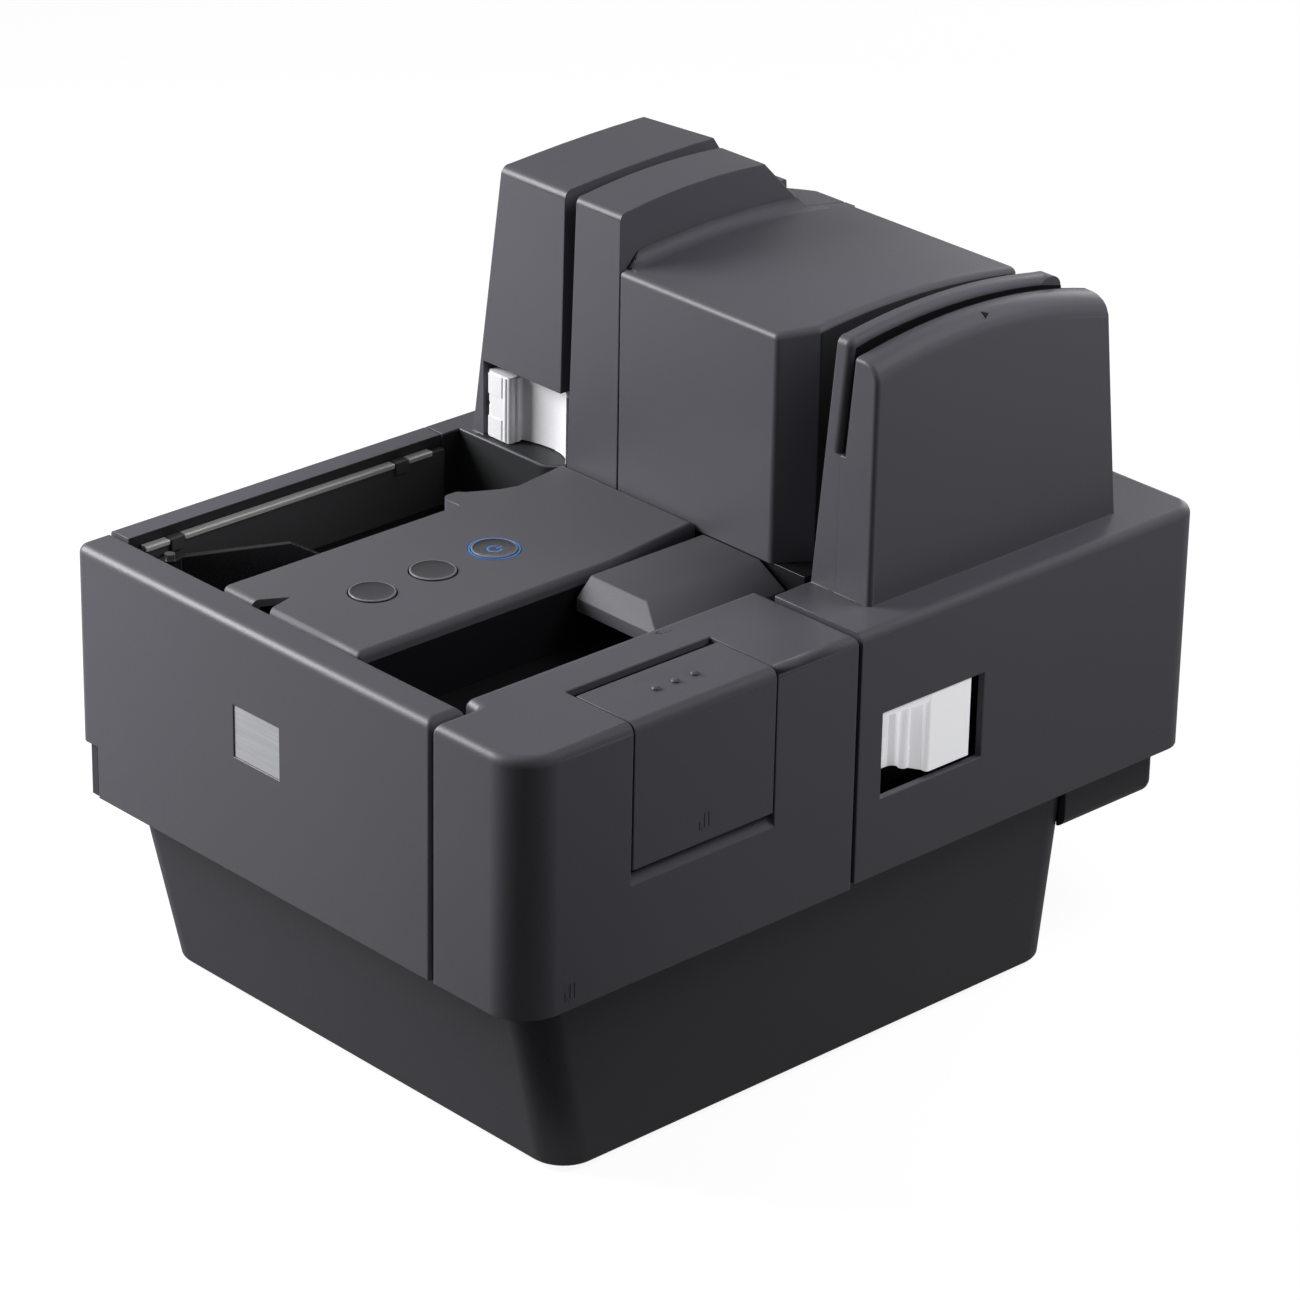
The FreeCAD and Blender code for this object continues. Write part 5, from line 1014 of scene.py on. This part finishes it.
@dataclass
class CaseMarks:
    """Small plain moulded marks, the hatch's grip dots and the web below the card slot.

    All sizes are in millimetres. A dot's profile is given in shares of its radius and in
    height over the hatch.
    """

    relief: float = 0.16
    line: float = 0.45
    side: float = 95.5
    stroke: float = 4.4
    strokes: tuple[Pair, ...] = ((-1.6, 2.2), (0.2, 4.4), (1.8, 4.4))
    foot: Pair = (-0.7, 1.8)
    hatch_mark: Pair = (-65.8, 99.7)
    corner_mark: Pair = (-114.4, 64.4)
    top: float = 136.8
    rungs: tuple[Pair, ...] = ((57.44, -48.2), (57.61, -46.5), (57.78, -44.8))
    rung_length: float = 1.5
    stem: Pair = (57.0, -48.6)
    stem_length: float = 1.4
    arrow_place: Point = (81.2, 51.4, 212.1)
    arrow_radius: float = 1.4
    arrow_depth: float = 0.5
    arrow_tilt: float = radians(36)
    web: Bar = Bar((68.6, 8.43, 154.75), (3.4, 2.5, 47.7))
    dot_places: tuple[Pair, ...] = ((83.0, -73.05), (83.0, -65.95), (83.0, -58.85))
    dot_radius: float = 1.25
    dot_profile: tuple[Pair, ...] = ((0, -0.5), (1, -0.5), (1, 0.02), (0.8, 0.34), (0.45, 0.5),
                                     (0, 0.55))

    def side_mark(self, name: str, node: str, middle: Pair) -> None:
        """Make two upright strokes, a short one and a foot on a side face.

        Args:
            name: the mark's name.
            node: the CAD node that carries it.
            middle: its middle in Y and Z.
        """
        shape = bmesh.new()
        y, z = middle
        proud = self.relief * 2
        for shift, length in self.strokes:
            centre = (self.side, y + shift, z + (length - self.stroke) / 2)
            Bar(centre, (proud, self.line, length)).add(shape)
        shift, length = self.foot
        centre = (self.side, y + shift, z - self.stroke / 2)
        Bar(centre, (proud, length, self.line)).add(shape)
        carried_piece(name, shape, Finish.CASE, node)

    def top_mark(self) -> None:
        """Make three short rungs and a stem on the case's top edge."""
        shape = bmesh.new()
        proud = self.relief * 2
        for place in self.rungs:
            Bar((*place, self.top), (self.rung_length, self.line, proud)).add(shape)
        Bar((*self.stem, self.top), (self.line, self.stem_length, proud)).add(shape)
        carried_piece("top_edge_mark", shape, Finish.CASE, "right_front_cover")

    def arrow(self) -> None:
        """Make the small arrow that shows the way into the card slot."""
        shape = bmesh.new()
        verts = bmesh.ops.create_cone(
            shape, cap_ends=True, segments=3, radius1=self.arrow_radius * MM,
            radius2=self.arrow_radius * MM, depth=self.arrow_depth * MM)["verts"]
        bmesh.ops.rotate(shape, cent=(0, 0, 0), matrix=Matrix.Rotation(self.arrow_tilt, 3, "Y"),
                         verts=verts)
        bmesh.ops.translate(shape, vec=[value * MM for value in self.arrow_place], verts=verts)
        carried_piece("feed_arrow", shape, Finish.WELL, "right_cover")

    def dots(self) -> None:
        """Make the three domes that give a finger grip on the hatch."""
        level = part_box("hatch_cover")[1].z
        profile = [(share * self.dot_radius * MM, level + rise * MM)
                   for share, rise in self.dot_profile]
        for number, (x, y) in enumerate(self.dot_places, 1):
            dome = turned(profile, (x * MM, y * MM), DOME_STEPS)
            carried_piece(f"hatch_dot_{number}", dome, Finish.CASE, "hatch_cover")

    def build(self) -> None:
        """Make every mark."""
        self.side_mark("hatch_side_mark", "hatch_cover", self.hatch_mark)
        self.side_mark("corner_side_mark", "right_front_cover", self.corner_mark)
        self.top_mark()
        self.arrow()
        web = bmesh.new()
        self.web.add(web)
        carried_piece("card_slot_web", web, Finish.CASE, "right_cover")
        self.dots()


# The studio


@dataclass(frozen=True)
class Lamp:
    """A soft square lamp: its power in watts, its side and its place in metres."""

    name: str
    power: float
    side: float
    place: Point
    gloss: bool = True

    def build(self, aim: Point) -> None:
        """Hang the lamp, hidden from the camera and, without gloss, from shiny surfaces.

        Args:
            aim: where it points.
        """
        data = bpy.data.lights.new(self.name, "AREA")
        data.energy = self.power
        data.size = self.side
        lamp = bpy.data.objects.new(self.name, data)
        bpy.context.scene.collection.objects.link(lamp)
        lamp.location = self.place
        towards = Vector(aim) - Vector(self.place)
        lamp.rotation_euler = towards.to_track_quat("-Z", "Y").to_euler()
        lamp.visible_camera = False
        lamp.visible_glossy = self.gloss


@dataclass
class Studio:
    """Camera, floor, black card and lamps; lengths are in metres."""

    azimuth: float = radians(46.65)
    elevation: float = radians(25.15)
    roll: float = radians(1.07)
    distance: float = 1.5601
    aim: Point = (0.00604, -0.00289, 0.09941)
    focal_pixels: float = 5400
    frame_pixels: float = 1300
    sensor: float = 36.0
    far_clip: float = 50
    backdrop_share: float = 0.82
    backdrop_glow: float = 1.12
    gloss_share: float = 0.24
    floor_reach: float = 9.0
    floor_seen: float = 0.88
    floor_bounce: float = 0.24
    ambient: float = 0.085
    flag_reach: Pair = (0.15, 0.9)
    flag_width: float = 0.34
    flag_level: float = 0.001
    lamps: tuple[Lamp, ...] = (
        Lamp("front_left_softbox", 7.8, 0.36, (-0.5, -0.42, 0.42)),
        Lamp("top_softbox", 0.35, 0.6, (-0.1, -0.3, 1.0)),
        Lamp("right_fill", 1.15, 0.25, (0.25, 0.17, 0.44), gloss=False),
        Lamp("rear_fill", 7, 0.9, (-0.5, 1.6, 0.55)))

    def camera(self) -> None:
        """Place the camera where the photograph was taken."""
        data = bpy.data.cameras.new("photo_camera")
        data.sensor_width = self.sensor
        data.sensor_fit = "HORIZONTAL"
        data.lens = self.sensor * self.focal_pixels / self.frame_pixels
        data.clip_end = self.far_clip
        camera = bpy.data.objects.new("photo_camera", data)
        bpy.context.scene.collection.objects.link(camera)
        level = cos(self.elevation)
        back = Vector((sin(self.azimuth) * level, -cos(self.azimuth) * level, sin(self.elevation)))
        turn = (Matrix.Rotation(self.azimuth, 4, "Z")
                @ Matrix.Rotation(QUARTER_TURN - self.elevation, 4, "X")
                @ Matrix.Rotation(self.roll, 4, "Z"))
        place = Vector(self.aim) + back * self.distance
        camera.matrix_world = Matrix.Translation(place) @ turn
        bpy.context.scene.camera = camera

    @staticmethod
    def seen_by(graph: Graph) -> tuple[Term, Term]:
        """How a ray comes.

        Args:
            graph: the node tree that asks.

        Returns:
            Whether it comes straight from the camera, and whether off gloss or through glass.
        """
        rays = graph.node("ShaderNodeLightPath")
        gloss, glass = (Term(graph, rays.outputs[name])
                        for name in ("Is Glossy Ray", "Is Transmission Ray"))
        return Term(graph, rays.outputs["Is Camera Ray"]), gloss + glass

    @staticmethod
    def plane(name: str, shape: bmesh.types.BMesh, material: bpy.types.Material
              ) -> bpy.types.Object:
        """Put a flat shape in the scene.

        Args:
            name: its name.
            shape: its mesh; it is freed here.
            material: what it is made of.

        Returns:
            The new object.
        """
        mesh = bpy.data.meshes.new(name)
        shape.to_mesh(mesh)
        shape.free()
        mesh.materials.append(material)
        plane = bpy.data.objects.new(name, mesh)
        bpy.context.scene.collection.objects.link(plane)
        return plane

    def floor(self) -> None:
        """Lay a pale floor that looks white to the camera and keeps the shadow."""
        material = bpy.data.materials.new("studio_floor")
        graph = Graph(material)
        direct, gloss = self.seen_by(graph)
        bounced, seen = ((grey,) * 3 + (1,) for grey in (self.floor_bounce, self.floor_seen))
        matt = graph.term("ShaderNodeBsdfDiffuse", {"Color": graph.mix(direct, bounced, seen)})
        white = graph.term("ShaderNodeEmission", {"Color": WHITE, "Strength": self.backdrop_glow})
        share = direct * self.backdrop_share + gloss * self.gloss_share
        graph.surface(graph.term("ShaderNodeMixShader", {0: share, 1: matt, 2: white}))
        shape = bmesh.new()
        bmesh.ops.create_grid(shape, x_segments=2, y_segments=2, size=self.floor_reach)
        plane = self.plane("studio_floor", shape, material)

    def flag(self) -> None:
        """Lay a black card before the near corner, which only shiny surfaces mirror."""
        material = bpy.data.materials.new("studio_flag")
        graph = Graph(material)
        graph.surface(graph.term("ShaderNodeBsdfDiffuse", {"Color": BLACK}))
        near, far = self.flag_reach
        shape = bmesh.new()
        verts = bmesh.ops.create_grid(shape, x_segments=1, y_segments=1, size=0.5)["verts"]
        bmesh.ops.scale(shape, vec=(self.flag_width, far - near, 1), verts=verts)
        bmesh.ops.translate(shape, vec=(0, -(near + far) / 2, self.flag_level), verts=verts)
        bmesh.ops.rotate(shape, cent=(0, 0, 0), matrix=Matrix.Rotation(self.azimuth, 3, "Z"),
                         verts=verts)
        card = self.plane("studio_flag", shape, material)
        card.visible_camera = card.visible_diffuse = card.visible_shadow = False
        card.visible_transmission = False

    def world(self) -> None:
        """Surround the scene with white that hardly lights it."""
        world = bpy.data.worlds.new("studio_world")
        bpy.context.scene.world = world
        graph = Graph(world)
        direct, gloss = self.seen_by(graph)
        strength = direct * (1 - self.ambient) + gloss * self.gloss_share + self.ambient
        glow = graph.term("ShaderNodeBackground", {"Color": WHITE, "Strength": strength})
        graph.node("ShaderNodeOutputWorld", {"Surface": glow})

    def build(self) -> None:
        """Set up the whole studio."""
        self.camera()
        self.floor()
        self.flag()
        for lamp in self.lamps:
            lamp.build(self.aim)
        self.world()
        bpy.context.scene.view_settings.view_transform = "Standard"


def main() -> None:
    """Build the looks of the scanner round its CAD frame."""
    logging.basicConfig(level=logging.INFO, format="%(message)s")
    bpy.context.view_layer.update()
    Studio().build()
    PlainNodes().build()
    Case().build()
    Hopper().build()
    for node in ("front_button", "middle_button", "power_button"):
        DishedButton(node).build()
    PowerSymbol().build()
    PaintedShadeSkins().build()
    LeverDetails().build()
    CaseMarks().build()


if __name__ == "__main__":
    main()
